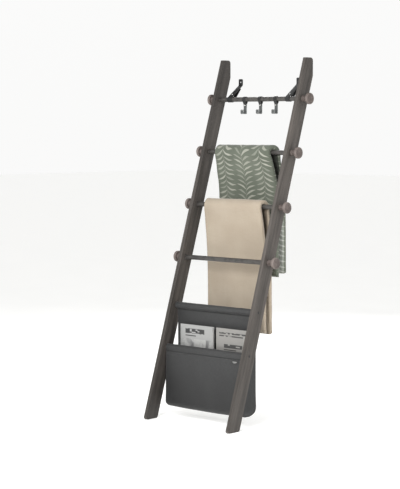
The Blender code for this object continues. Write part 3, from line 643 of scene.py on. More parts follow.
# ---------------------------------------------------------------- rails
def rail_outline():
    """The frame's own outline of a rail, in (y, z), in order round its middle."""
    low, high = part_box("left_rail")
    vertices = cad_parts["left_rail"].data.vertices
    level = {(round(v.co.y, 5), round(v.co.z, 5)) for v in vertices if abs(v.co.x - low.x) < 1e-5}
    outline = [Vector(p) for p in level]
    centre_y, centre_z = 0.5 * (low.y + high.y), 0.5 * (low.z + high.z)

    def is_corner(point):
        return all((point - axis).length > 0.012 for axis in crossing_axes())

    outline = [p for p in outline if is_corner(p)]
    slope = tan(LEAN)
    outline.sort(key=lambda p: atan2(p.y - centre_z, (p.x - centre_y - (p.y - centre_z) * slope) * 9))
    return outline


def crossing_axes():
    return list(RUNG_AXES.values()) + list(BAR_AXES.values())


def make_rails():
    for word, side in SIDES:
        low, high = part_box(f"{word}_rail")
        outline = rail_outline()
        count = len(outline)
        points = [(x, p.x, p.y) for x in (low.x, high.x) for p in outline]
        faces = [tuple(range(count)), tuple(range(2 * count - 1, count - 1, -1))]
        faces += [(k, count + k, count + (k + 1) % count, (k + 1) % count) for k in range(count)]
        mesh = bevelled(new_mesh(f"{word}_side_rail", points, faces), RAIL_EDGE, 0.0001)
        cutters = []
        for axis in crossing_axes():
            turn = Matrix.Rotation(side * pi / 2, 4, "Y")
            bolted = axis in BAR_AXES.values()
            inner = abs(high.x if side < 0 else low.x)
            place = Matrix.Translation((side * inner, axis.x, axis.y)) @ turn
            thickness = high.x - low.x
            bore = 0.0033 if bolted else 0.0043
            profile = [(0, thickness + 0.005), (bore, thickness + 0.005), (bore, 0.005),
                       (TUBE_RADIUS + 0.0003, 0.005), (TUBE_RADIUS + 0.0003, -0.005), (0, -0.005)]
            socket = turned("socket", profile, 48)
            socket.transform(place)
            cutters.append(socket)
        worn = mesh
        mesh = cut_by(worn, joined("sockets", cutters))
        # Painted shade: the left rail takes the darker copy of the walnut.
        board = "walnut_dark" if side < 0 else "walnut"
        add_piece(f"{word}_side_rail", mesh, board, "root", [f"{word}_rail"])


# ---------------------------------------------------------------- rungs, bars, knobs and bolts
def make_tubes():
    """Rungs and bag bars: thin-walled tubes with a fine chamfer at each end."""
    chamfer = 0.0004
    names = [(f"rung_{n}", f"rung_tube_{n}") for n in RUNG_NUMBERS]
    names += [(f"bag_bar_{level}", f"bag_tube_{level}") for level in BAR_AXES]
    for node, name in names:
        bore = TUBE_RADIUS - TUBE_WALL
        stations = [TUBE_HALF - chamfer - k * (2 * (TUBE_HALF - chamfer)) / 24 for k in range(25)]
        profile = [(TUBE_RADIUS - chamfer, TUBE_HALF)]
        profile += [(TUBE_RADIUS, z) for z in stations]
        profile += [(TUBE_RADIUS - chamfer, -TUBE_HALF), (bore, -TUBE_HALF), (bore, TUBE_HALF)]
        add_turned(name, profile, middle(node), (1, 0, 0), "rung_steel", "root", [node])


def knob_profile(projection):
    """Mushroom peg: shallow dome, full round edge, cove under the head, waisted neck."""
    head_radius = 0.5 * size("left_knob_1").z
    rim_top = projection - KNOB_DOME
    head_back = rim_top - KNOB_HEAD_THICKNESS
    edge = KNOB_EDGE_RADIUS
    flat = head_radius - edge
    dome = [(flat * k / 8, projection - KNOB_DOME * (k / 8) ** 2) for k in range(9)]
    front = [tuple(p) for p in arc((flat, rim_top - edge), edge, pi / 2, 0.0, 8)][1:]
    back = [tuple(p) for p in arc((flat, head_back + edge), edge, 0.0, -pi / 2, 8)]
    cove = 0.0045
    cove_centre = (KNOB_NECK_RADIUS + cove, head_back - cove)
    neck = [tuple(p) for p in arc(cove_centre, cove, pi / 2, pi, 6)]
    length = head_back - cove
    waist = [(KNOB_NECK_RADIUS - 0.0009 * sin(pi * k / 10), length * (1 - k / 10) + 0.0012 * k / 10)
             for k in range(1, 11)]
    base = [(KNOB_NECK_RADIUS - 0.0008, 0.0003)]
    hole = [(0.0043, 0.0003), (0.0043, 0.0203), (0.0, 0.0203)]
    return dome + front + back + neck + waist + base + hole


def make_knobs():
    for word, side in SIDES:
        for number in RUNG_NUMBERS:
            node = f"{word}_knob_{number}"
            axis = RUNG_AXES[number]
            place = (side * RAIL_OUTER_X, axis.x, axis.y)
            projection = max(abs(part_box(node)[0].x), abs(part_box(node)[1].x)) - RAIL_OUTER_X
            peg = add_turned(f"{word}_peg_{number}", knob_profile(projection), place, (side, 0, 0),
                             "knob_wood", "root", [node])
            spin = Matrix.Rotation(0.9 * number + (0.5 if side > 0 else 0.0), 4, "Z")
            peg.matrix_world = peg.matrix_world @ spin


def make_bolts():
    for word, side in SIDES:
        for level, axis in BAR_AXES.items():
            node = f"{word}_bolt_{level}"
            low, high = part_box(node)
            head_radius = 0.5 * (high.z - low.z)
            head_top = max(abs(low.x), abs(high.x)) - RAIL_OUTER_X
            shank_end = min(abs(low.x), abs(high.x)) - RAIL_OUTER_X
            profile = [(head_radius * sin(0.5 * pi * k / 8), TOUCH_GAP + (head_top - TOUCH_GAP)
                        * cos(0.5 * pi * k / 8)) for k in range(9)]
            profile += [(BOLT_RADIUS, TOUCH_GAP), (BOLT_RADIUS, shank_end), (0.0, shank_end)]
            recess = peg_mesh(0.0021, 0.45 * head_top, head_top + 0.002, 6)
            add_turned(f"{word}_button_bolt_{level}", profile, (side * RAIL_OUTER_X, axis.x, axis.y),
                       (side, 0, 0), "black_steel", "root", [node], [recess])


# ---------------------------------------------------------------- straps and their screws
def cross_recess(top, depth, reach=0.0024, blade=0.00075):
    """Cutter for a cross recess: two crossed blades."""
    blades = []
    for turn in (0.0, pi / 2):
        mesh = bpy.data.meshes.new("blade")
        shape = bmesh.new()
        bmesh.ops.create_cube(shape, size=1.0)
        grow = Matrix.Diagonal((2 * reach, blade, depth + 0.002, 1.0))
        lift = Matrix.Translation((0, 0, top - 0.5 * depth + 0.001))
        bmesh.ops.transform(shape, matrix=Matrix.Rotation(turn, 4, "Z") @ lift @ grow,
                            verts=shape.verts)
        shape.to_mesh(mesh)
        shape.free()
        blades.append(mesh)
    return blades


def make_screw(name, node, direction, body):
    """Pan-head screw with a cross recess, and a hex nut, along a direction through a node's middle."""
    along = Vector(direction).normalized()
    vertices = [v.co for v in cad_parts[node].data.vertices]
    places = [v.dot(along) for v in vertices]
    centre = middle(node)
    centre_line = centre - along * centre.dot(along)
    levels = sorted(set(round(p, 5) for p in places))
    nut_end, nut_face = levels[0], levels[1]
    head_seat, head_top = levels[-4], levels[-1]
    radius = 0.0038
    tall = head_top - head_seat
    profile = [(radius * sin(0.5 * pi * k / 8), tall * cos(0.5 * pi * k / 8) ** 0.6)
               for k in range(8)] + [(radius, 0.0), (0.002, 0.0), (0.002, nut_end - head_seat + 0.0002),
                                     (0.0, nut_end - head_seat)]
    place = centre_line + along * head_seat
    cuts = cross_recess(tall, 0.0011)
    add_turned(name, profile, place, along, "bright_steel", body, [node], cuts, 40)
    nut = turned(name + "_nut", [(radius, nut_face - nut_end), (radius, 0.0), (0.0022, 0.0),
                                 (0.0022, nut_face - nut_end)], 6, 20)
    nut = bevelled(nut, 0.00035, 0.000001, 2)
    piece = bpy.data.objects.new(name + "_nut", nut)
    SCENE.collection.objects.link(piece)
    nut.materials.append(LOOKS["bright_steel"])
    point_z_along(piece, centre_line + along * nut_end, along)
    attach(piece, body)


def bracket_path():
    """Strap's middle line from the rung's axis: tab, eased bend, front leg, loop, rear leg."""
    axis = RUNG_AXES[1]
    tab_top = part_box("left_bracket")[1].z - axis.y
    tab_y = WALL_Y - axis.x - 0.5 * STRAP_THICKNESS
    bend = Vector((tab_y, tab_top - TAB_LENGTH))
    front = touch_angle(LOOP_RADIUS, bend, 1)
    rear = touch_angle(LOOP_RADIUS, bend, -1) + 2 * pi
    loop = arc((0.0, 0.0), LOOP_RADIUS, front, rear, 40)
    rear_end = loop[-1].lerp(bend, REAR_LEG_SHARE)
    down = (loop[0] - bend).normalized()
    start = bend + Vector((0.0, TAB_BEND_RADIUS))
    end = bend + down * TAB_BEND_RADIUS
    eased = [(1 - t) ** 2 * start + 2 * t * (1 - t) * bend + t * t * end
             for t in (k / 8 for k in range(9))]
    front_leg = [end.lerp(loop[0], k / 12) for k in range(1, 12)]
    rear_leg = [loop[-1].lerp(rear_end, k / 12) for k in range(1, 13)]
    tab = [Vector((tab_y, tab_top)).lerp(start, k / 12) for k in range(12)]
    return tab + eased + front_leg + loop + rear_leg


def rounded_ends(path, width, radius, first=True, last=True):
    """Bar widths along a path whose ends are rounded corners of the given radius."""
    lengths = [0.0]
    for a, b in zip(path, path[1:]):
        lengths.append(lengths[-1] + (b - a).length)
    widths = []
    for s in lengths:
        loss = 0.0
        for active, reach in ((first, s), (last, lengths[-1] - s)):
            if active and reach < radius:
                loss = max(loss, radius - sqrt(max(radius ** 2 - (radius - reach) ** 2, 0.0)))
        widths.append(width - 2 * loss)
    return widths


def with_fine_end(path, radius, at_start):
    """Add close points where an end is rounded."""
    tip, inner = (path[0], path[1]) if at_start else (path[-1], path[-2])
    direction = (inner - tip).normalized()
    extra = [tip + direction * radius * (1 - cos(pi / 2 * k / 6)) for k in range(1, 7)]
    keep = [p for p in (path[1:] if at_start else path[:-1]) if (p - tip).length > radius * 1.02]
    return [tip, *extra, *keep] if at_start else [*keep, *extra[::-1], tip]


def make_brackets():
    axis = RUNG_AXES[1]
    path = with_fine_end(with_fine_end(bracket_path(), 0.005, True), 0.004, False)
    bend = Vector((WALL_Y - axis.x - 0.5 * STRAP_THICKNESS,
                   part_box("left_bracket")[1].z - axis.y - TAB_LENGTH))
    along = bend.normalized()
    across = Vector((0.0, -along.y, along.x))
    for word, _ in SIDES:
        node = f"{word}_bracket"
        width = size(node).x
        centre_x = middle(node).x
        widths = rounded_ends(path, width, 0.005)
        mesh = swept_bar(f"{word}_wall_strap", path, widths, STRAP_THICKNESS, 0.0004, axis, centre_x)
        hole_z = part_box(node)[1].z - 0.5 * TAB_LENGTH
        turn = Matrix.Rotation(pi / 2, 4, "X")
        peg = peg_mesh(TAB_HOLE_RADIUS, -0.01, 0.01, 40,
                       Matrix.Translation((centre_x, WALL_Y, hole_z)) @ turn)
        mesh = cut_by(mesh, peg)
        if "wear" not in mesh.attributes:
            mark_wear(mesh, 0.4 * width * STRAP_THICKNESS)
        add_piece(f"{word}_wall_strap", mesh, "black_steel", f"{word}_wall_bracket",
                  [node])
        make_screw(f"{word}_strap_screw", f"{node}_screw", across, f"{word}_wall_bracket")


def band_path(node):
    """Hook band: front ear, over the rung, rear ear, from the rung's axis."""
    axis = RUNG_AXES[1]
    ear_y = 0.5 * (BLADE_THICKNESS + STRAP_THICKNESS) + TOUCH_GAP
    ear_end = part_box(node)[0].z - axis.y
    front_ear = Vector((-ear_y, ear_end + EAR_LENGTH))
    front = touch_angle(LOOP_RADIUS, front_ear, -1) + 2 * pi
    loop = arc((0.0, 0.0), LOOP_RADIUS, front, pi - front, 44)
    down = [front_ear.lerp(loop[0], k / 6) for k in range(1, 6)]
    ear = [Vector((-ear_y, ear_end)).lerp(front_ear, k / 6) for k in range(7)]
    flip = [Vector((-p.x, p.y)) for p in reversed(ear + down)]
    return ear + down + loop + flip


def blade_path(node):
    """Hook blade's middle line: stem, foot running forward, upturned lip, from the rung's axis."""
    axis = RUNG_AXES[1]
    low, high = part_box(node)
    half = 0.5 * BLADE_THICKNESS
    top, floor = high.z - axis.y, low.z - axis.y + half
    front = low.y - axis.x + half
    radius = BLADE_BEND_RADIUS
    stem = [Vector((0.0, top - (top - floor - radius) * k / 10)) for k in range(11)]
    first = arc((-radius, floor + radius), radius, 0.0, -pi / 2, 10)[1:]
    second = arc((front + radius, floor + radius), radius, -pi / 2, -pi, 10)
    lip_top = floor - half + BLADE_LIP
    lip = [Vector((front, floor + radius + (lip_top - floor - radius) * k / 6)) for k in range(1, 7)]
    return stem + first + second + lip


def make_hooks():
    axis = RUNG_AXES[1]
    for number in (1, 2, 3):
        body = f"hook_{number}"
        band, blade = f"hook_band_{number}", f"hook_blade_{number}"
        centre_x = middle(band).x
        path = with_fine_end(with_fine_end(band_path(band), 0.004, True), 0.004, False)
        width = size(band).x
        ear_end = path[0].y
        widths = rounded_ends(path, width, 0.004)
        taper_top = -TUBE_RADIUS
        for i, point in enumerate(path):
            share = min(max((taper_top - point.y) / (taper_top - ear_end), 0.0), 1.0)
            widths[i] = min(widths[i], width - (width - EAR_END_WIDTH) * share
                            - (width - widths[i]))
        mesh = swept_bar(f"hook_clasp_{number}", path, widths, STRAP_THICKNESS, 0.0004, axis, centre_x)
        add_piece(f"hook_clasp_{number}", mesh, "black_steel", body, [band])
        path = with_fine_end(with_fine_end(blade_path(blade), 0.003, True), 0.004, False)
        widths = rounded_ends(path, BLADE_FLARE * size(blade).x, 0.0035)
        mesh = swept_bar(f"hook_arm_{number}", path, widths, BLADE_THICKNESS, 0.0006, axis, centre_x)
        add_piece(f"hook_arm_{number}", mesh, "hook_steel", body, [blade])
        make_screw(f"hook_clamp_screw_{number}", f"hook_screw_{number}", (0, -1, 0), body)


# ---------------------------------------------------------------- sheets of cloth
def unit(vectors):
    return vectors / np.maximum(np.linalg.norm(vectors, axis=-1, keepdims=True), 1e-12)


def grid_normals(grid):
    """Normals of a grid of points, rows by columns."""
    across, along = np.gradient(grid, axis=1), np.gradient(grid, axis=0)
    return unit(np.cross(across, along))


def flat_coordinates(grid):
    """Distances across and along a grid, as on the cloth before it was hung."""
    across = np.linalg.norm(np.diff(grid, axis=1), axis=2)
    along = np.linalg.norm(np.diff(grid, axis=0), axis=2)
    u = np.concatenate([[0.0], np.cumsum(across.mean(axis=0))])
    v = np.concatenate([[0.0], np.cumsum(along.mean(axis=1))])
    return np.stack(np.meshgrid(u, v), axis=-1)


def thick_sheet(name, grid, thickness, uv, marks=None):
    """Closed mesh of a sheet: two faces and a rounded rim, with cloth coordinates and marks."""
    rows, columns = grid.shape[:2]
    normals = grid_normals(grid)
    half = 0.5 * np.broadcast_to(np.asarray(thickness, float), (rows, columns))[..., None]
    top, bottom = grid + normals * half, grid - normals * half
    border = [(0, j) for j in range(columns)] + [(i, columns - 1) for i in range(1, rows)]
    border += [(rows - 1, j) for j in range(columns - 2, -1, -1)]
    border += [(i, 0) for i in range(rows - 2, 0, -1)]
    inner = [(min(max(i, 1), rows - 2), min(max(j, 1), columns - 2)) for i, j in border]
    rim = []
    for (i, j), (k, m) in zip(border, inner):
        away = grid[i, j] - grid[k, m]
        rim.append(grid[i, j] + away / max(np.linalg.norm(away), 1e-9) * 0.7 * half[i, j])
    count = rows * columns
    points = np.concatenate([top.reshape(-1, 3), bottom.reshape(-1, 3), np.array(rim)])
    index = np.arange(count).reshape(rows, columns)
    quads = np.stack([index[:-1, :-1], index[:-1, 1:], index[1:, 1:], index[1:, :-1]], -1)
    quads = quads.reshape(-1, 4)
    faces = quads.tolist() + (quads[:, ::-1] + count).tolist()
    total = len(border)
    for k in range(total):
        a, b = index[border[k]], index[border[(k + 1) % total]]
        c, d = 2 * count + k, 2 * count + (k + 1) % total
        faces.append((int(b), int(a), c, d))
        faces.append((d, c, int(a) + count, int(b) + count))
    mesh = bpy.data.meshes.new(name)
    mesh.from_pydata(points.tolist(), [], faces)
    rim_uv = np.array([uv[i, j] for i, j in border])
    vertex_uv = np.concatenate([uv.reshape(-1, 2), uv.reshape(-1, 2), rim_uv])
    loops = np.zeros(len(mesh.loops), np.int32)
    mesh.loops.foreach_get("vertex_index", loops)
    mesh.uv_layers.new(name="cloth").data.foreach_set("uv", vertex_uv[loops].ravel())
    for mark in ("wear", "stitch", "pale_back_and_painted_light", "painted_shade"):
        values = np.zeros((rows, columns)) if not marks or mark not in marks else marks[mark]
        rim_values = np.array([values[i, j] for i, j in border])
        attribute = mesh.attributes.new(mark, "FLOAT", "POINT")
        attribute.data.foreach_set("value", np.concatenate([values.ravel(), values.ravel(), rim_values]))
    mesh.shade_smooth()
    return mesh


def sampled(grid, row, column):
    """Points of a grid at fractional rows and columns."""
    row = np.clip(row, 0, grid.shape[0] - 1.000001)
    column = np.clip(column, 0, grid.shape[1] - 1.000001)
    i, j = row.astype(int), column.astype(int)
    a, b = (row - i)[..., None], (column - j)[..., None]
    low = grid[i, j] * (1 - b) + grid[i, j + 1] * b
    high = grid[i + 1, j] * (1 - b) + grid[i + 1, j + 1] * b
    return low * (1 - a) + high * a


def smooth_step(value, low, high):
    share = np.clip((value - low) / (high - low), 0.0, 1.0)
    return share * share * (3.0 - 2.0 * share)


def ripple(x, y, seed):
    """Smooth deterministic noise, about -1 to 1."""
    shape = np.broadcast(x, y).shape
    xs, ys = np.broadcast_to(x, shape).ravel(), np.broadcast_to(y, shape).ravel()
    values = [noise.noise(Vector((a, b, seed))) for a, b in zip(xs, ys)]
    return np.array(values).reshape(shape) * 1.6


def stitches(name, lines, pitch, length, radius, thread, body, slot):
    """Rows of short stitches; each line is (points, normals) along a seam."""
    sides, rings = 6, (-1.0, -0.72, 0.0, 0.72, 1.0)
    fat = (0.0, 0.7, 1.0, 0.7, 0.0)
    points, faces = [], []
    for line, normals in lines:
        line, normals = np.asarray(line, float), np.asarray(normals, float)
        steps = np.concatenate([[0.0], np.cumsum(np.linalg.norm(np.diff(line, axis=0), axis=1))])
        for centre in np.arange(pitch, steps[-1] - 0.5 * pitch, pitch):
            ends = [np.array([np.interp(centre + s, steps, line[:, k]) for k in range(3)])
                    for s in (-0.5 * length, 0.5 * length)]
            normal = unit(np.array([np.interp(centre, steps, normals[:, k]) for k in range(3)]))
            middle_point, along = 0.5 * (ends[0] + ends[1]), unit(ends[1] - ends[0])
            across = unit(np.cross(normal, along))
            base = len(points)
            for ring, wide in zip(rings, fat):
                if wide == 0.0:
                    points.append(middle_point + along * 0.5 * length * ring)
                    continue
                for k in range(sides):
                    turn = 2 * pi * k / sides
                    points.append(middle_point + along * 0.5 * length * ring
                                  + (across * cos(turn) + normal * sin(turn)) * radius * wide)
            for k in range(sides):
                after = (k + 1) % sides
                faces.append((base, base + 1 + after, base + 1 + k))
                for ring in (0, 1):
                    low = base + 1 + ring * sides
                    faces.append((low + k, low + after, low + sides + after, low + sides + k))
                low = base + 1 + 2 * sides
                faces.append((low + k, low + after, low + sides))
    mesh = new_mesh(name, points, faces, 80)
    return add_piece(name, mesh, thread, body)


# ---------------------------------------------------------------- draped cloths
CLOTHS = {
    "quilt": {"rung": 2, "pitch": 0.0047, "thick": 0.0034, "right_pinch": 0.022,
              "left_pinch": 0.003, "look": "quilt_cloth", "body": "quilt_fold", "seed": 3.7,
              "wave": 0.0042, "loft": 0.42, "hem": 0.010, "thread": "quilt_thread"},
    "throw_blanket": {"rung": 3, "pitch": 0.0047, "thick": 0.0036,
                      "right_pinch": 0.010, "left_pinch": 0.003, "look": "throw_cloth",
                      "body": "throw_fold", "seed": 9.1, "wave": 0.0050, "loft": 0.18, "hem": 0.014,
                      "thread": "throw_thread"},
}
CLOTH_STEP = 0.009                 # spacing of the simulated points
CLOTH_CAP = 0.009                  # most that a simulated point may leave its starting place
CLOTH_FRAMES = 24
SWING_DROP = 0.170
CLOTH_GAP = 0.001                  # between a cloth and its rung


def hem_places(node, axis):
    """(y, z) in the middle of a folded cloth's front and back hems."""
    points = np.array([v.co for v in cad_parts[node].data.vertices])
    low = points[points[:, 2] < axis.y - 0.3]
    split = low[:, 1].mean()
    front, back = low[low[:, 1] < split], low[low[:, 1] >= split]
    return [Vector((part[:, 1].mean(), part[:, 2].min())) for part in (front, back)]


def cloth_line(node, axis, radius):
    """Middle line of a folded cloth in (y, z): front hem, up, over the rung, down, back hem."""
    front_hem, back_hem = hem_places(node, axis)

    def layer(side, hem):
        swing = hem.x - axis.x - side * radius
        points = []
        for k in range(1, 25):
            share = k / 24
            ease = share * share * (3.0 - 2.0 * share)
            points.append(axis + Vector((side * radius + swing * ease, -SWING_DROP * share)))
        return points + [hem]

    over = [axis + p for p in arc((0, 0), radius, pi, 0.0, 24)]
    return resampled(layer(-1, front_hem)[::-1] + over + layer(1, back_hem), CLOTH_STEP)


def cloth_start(node, plan):
    """Grid of a folded cloth's middle surface: rows from front hem to back hem, columns along X."""
    axis = RUNG_AXES[plan["rung"]]
    low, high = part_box(node)
    radius = high.z - axis.y - 0.5 * (high.z - axis.y - TUBE_RADIUS - CLOTH_GAP)
    line = cloth_line(node, axis, radius)
    columns = ceil((high.x - low.x) / CLOTH_STEP) + 1
    share = np.linspace(0.0, 1.0, columns)
    ys, zs = np.array([p.x for p in line]), np.array([p.y for p in line])
    drop = np.maximum(axis.y - zs, 0.0)
    behind = smooth_step(ys, axis.x - radius, axis.x + radius)
    pinch = np.exp(-drop / 0.055) * (1.0 - 0.75 * behind)
    left = low.x + plan["left_pinch"] * pinch
    right = high.x - plan["right_pinch"] * pinch + 0.002 * (1 - pinch)
    x = left[:, None] * (1 - share) + right[:, None] * share
    grid = np.stack([x, np.broadcast_to(ys[:, None], x.shape),
                     np.broadcast_to(zs[:, None], x.shape)], axis=-1)
    return grid, axis, radius


def hand_waves(grid, axis, plan):
    """Soft vertical folds that grow towards the hems."""
    drop = np.clip(axis.y - grid[..., 2], 0.0, None)
    grow = smooth_step(drop, 0.03, 0.45)
    side = np.where(grid[..., 1] < RUNG_AXES[plan["rung"]].x + 0.02, 0.0, 40.0)
    wave = ripple(grid[..., 0] * 9.0 + side, drop * 1.6, plan["seed"])
    offset = grid_normals(grid) * (plan["wave"] * grow * wave)[..., None]
    return grid + offset


def grid_mesh(name, grid):
    rows, columns = grid.shape[:2]
    index = np.arange(rows * columns).reshape(rows, columns)
    quads = np.stack([index[:-1, :-1], index[:-1, 1:], index[1:, 1:], index[1:, :-1]], -1)
    mesh = bpy.data.meshes.new(name)
    mesh.from_pydata(grid.reshape(-1, 3).tolist(), [], quads.reshape(-1, 4).tolist())
    return mesh


def simulate_drape(grid, axis, plan, obstacles):
    """Let a sheet settle under gravity over its rung, a little wider than the room it hangs in."""
    columns = grid.shape[1]
    centre = grid[:, columns // 2:columns // 2 + 1, 0]
    squeezed = grid.copy()
    squeezed[..., 0] = centre + (grid[..., 0] - centre) * 0.990
    start = hand_waves(squeezed, axis, plan)
    obj = bpy.data.objects.new("drape", grid_mesh("drape", start))
    SCENE.collection.objects.link(obj)
    obj.shape_key_add(name="Basis")
    cut = obj.shape_key_add(name="Cut")
    cut.data.foreach_set("co", grid.reshape(-1).astype(np.float32))
    cut.value = 0.0
    pins = obj.vertex_groups.new(name="held")
    drop = np.clip(axis.y - grid[..., 2], 0.0, None)
    weight = 0.10 + 0.90 * (1.0 - smooth_step(drop, 0.0, 0.03))
    for i, value in enumerate(weight.ravel()):
        pins.add([i], float(value), "REPLACE")
    cloth = obj.modifiers.new("Cloth", "CLOTH")
    facts = {"quality": 8, "mass": 0.02, "tension_stiffness": 12.0, "compression_stiffness": 12.0,
             "shear_stiffness": 4.0, "bending_stiffness": 0.6, "air_damping": 2.0,
             "tension_damping": 12.0, "compression_damping": 12.0, "shear_damping": 8.0,
             "vertex_group_mass": "held", "pin_stiffness": 0.6, "rest_shape_key": cut}
    for key, value in facts.items():
        setattr(cloth.settings, key, value)
    cloth.collision_settings.distance_min = 0.001
    solids = []
    for place, solid_radius in obstacles:
        rod = turned("rod", [(0, 0.3), (solid_radius, 0.3), (solid_radius, -0.3), (0, -0.3)], 32)
        solid = bpy.data.objects.new("rod", rod)
        SCENE.collection.objects.link(solid)
        point_z_along(solid, Vector((0.0, place.x, place.y)), (1, 0, 0))
        solid.modifiers.new("Collision", "COLLISION")
        solid.collision.thickness_outer = 0.001
        solids.append(solid)
    for number in range(1, CLOTH_FRAMES + 1):
        SCENE.frame_set(number)
    graph = bpy.context.evaluated_depsgraph_get()
    result = obj.evaluated_get(graph).to_mesh()
    points = np.zeros(len(result.vertices) * 3, np.float32)
    result.vertices.foreach_get("co", points)
    obj.evaluated_get(graph).to_mesh_clear()
    for made in [obj, *solids]:
        bpy.data.objects.remove(made, do_unlink=True)
    SCENE.frame_set(1)
    settled_grid = points.reshape(grid.shape).astype(float)
    if not np.isfinite(settled_grid).all():
        return hand_waves(grid, axis, plan)
    move = settled_grid - grid
    reach = np.linalg.norm(move, axis=-1, keepdims=True)
    return grid + move * np.minimum(1.0, CLOTH_CAP / np.maximum(reach, 1e-9))


def blurred(grid, times):
    """Average neighbours a few times, with the border kept."""
    for _ in range(times):
        inner = grid.copy()
        inner[1:-1] = 0.5 * grid[1:-1] + 0.25 * (grid[:-2] + grid[2:])
        grid = inner.copy()
        grid[:, 1:-1] = 0.5 * inner[:, 1:-1] + 0.25 * (inner[:, :-2] + inner[:, 2:])
    return grid


def fold_route(width, pitch, fine, coarse):
    """Across a cloth folded in half twice: (place across, offset out, distance on the cloth).

    The outer ply starts at a cut edge on the left and wraps the right side. The inner pair is
    one nested fold, joined to the outer one by a fold on the left.
    """
    outer, inner = 1.5 * pitch, 0.5 * pitch
    right, left = width - outer, inner + 0.0012
    plies = [
        [(x, outer) for x in np.arange(0.0, right, fine)],
        [(right + outer * cos(a), outer * sin(a)) for a in np.linspace(pi / 2, -pi / 2, 11)],
        [(x, -outer) for x in np.arange(right - coarse, left, -coarse)],
        [(left - inner * cos(a), -pitch - inner * sin(a)) for a in np.linspace(pi / 2, -pi / 2, 7)],
        [(x, -inner) for x in np.arange(left + coarse, right, coarse)],
        [(right + inner * cos(a), inner * sin(a)) for a in np.linspace(-pi / 2, pi / 2, 7)],
        [(x, inner) for x in np.arange(right - coarse, 0.0012, -coarse)] + [(0.0012, inner)],
    ]
    route = np.array([point for ply in plies for point in ply])
    steps = np.linalg.norm(np.diff(route, axis=0), axis=1)
    keep = np.concatenate([[True], steps > 0.0004])
    route = route[keep]
    steps = np.linalg.norm(np.diff(route, axis=0), axis=1)
    return route, np.concatenate([[0.0], np.cumsum(steps)])


def leaf_relief(u, v):
    """How far a leaflet stands proud of the quilt's ground, 0 to 1; the same rule as the print."""
    across = (u - LEAVES["first"]) / LEAVES["pitch"]
    column = np.round(across)
    off = (across - column) * LEAVES["pitch"]
    reach = np.abs(off)
    flip = 1.0 - 2.0 * np.abs(np.mod(column, 2.0))
    rise = LEAVES["rise"] * (1.0 - np.exp(-reach / LEAVES["bend"]))
    step = (v + rise * flip) / LEAVES["step"] + 0.12 * np.sign(off) + 0.25
    gap = np.abs(np.mod(step, 1.0) - 0.5) * LEAVES["step"]
    along = np.clip(reach / LEAVES["leaf"], 0.0, 1.0)
    half = np.sin(pi * along ** 0.75) * LEAVES["half_width"]
    return smooth_step(half - gap, -0.003, 0.003)


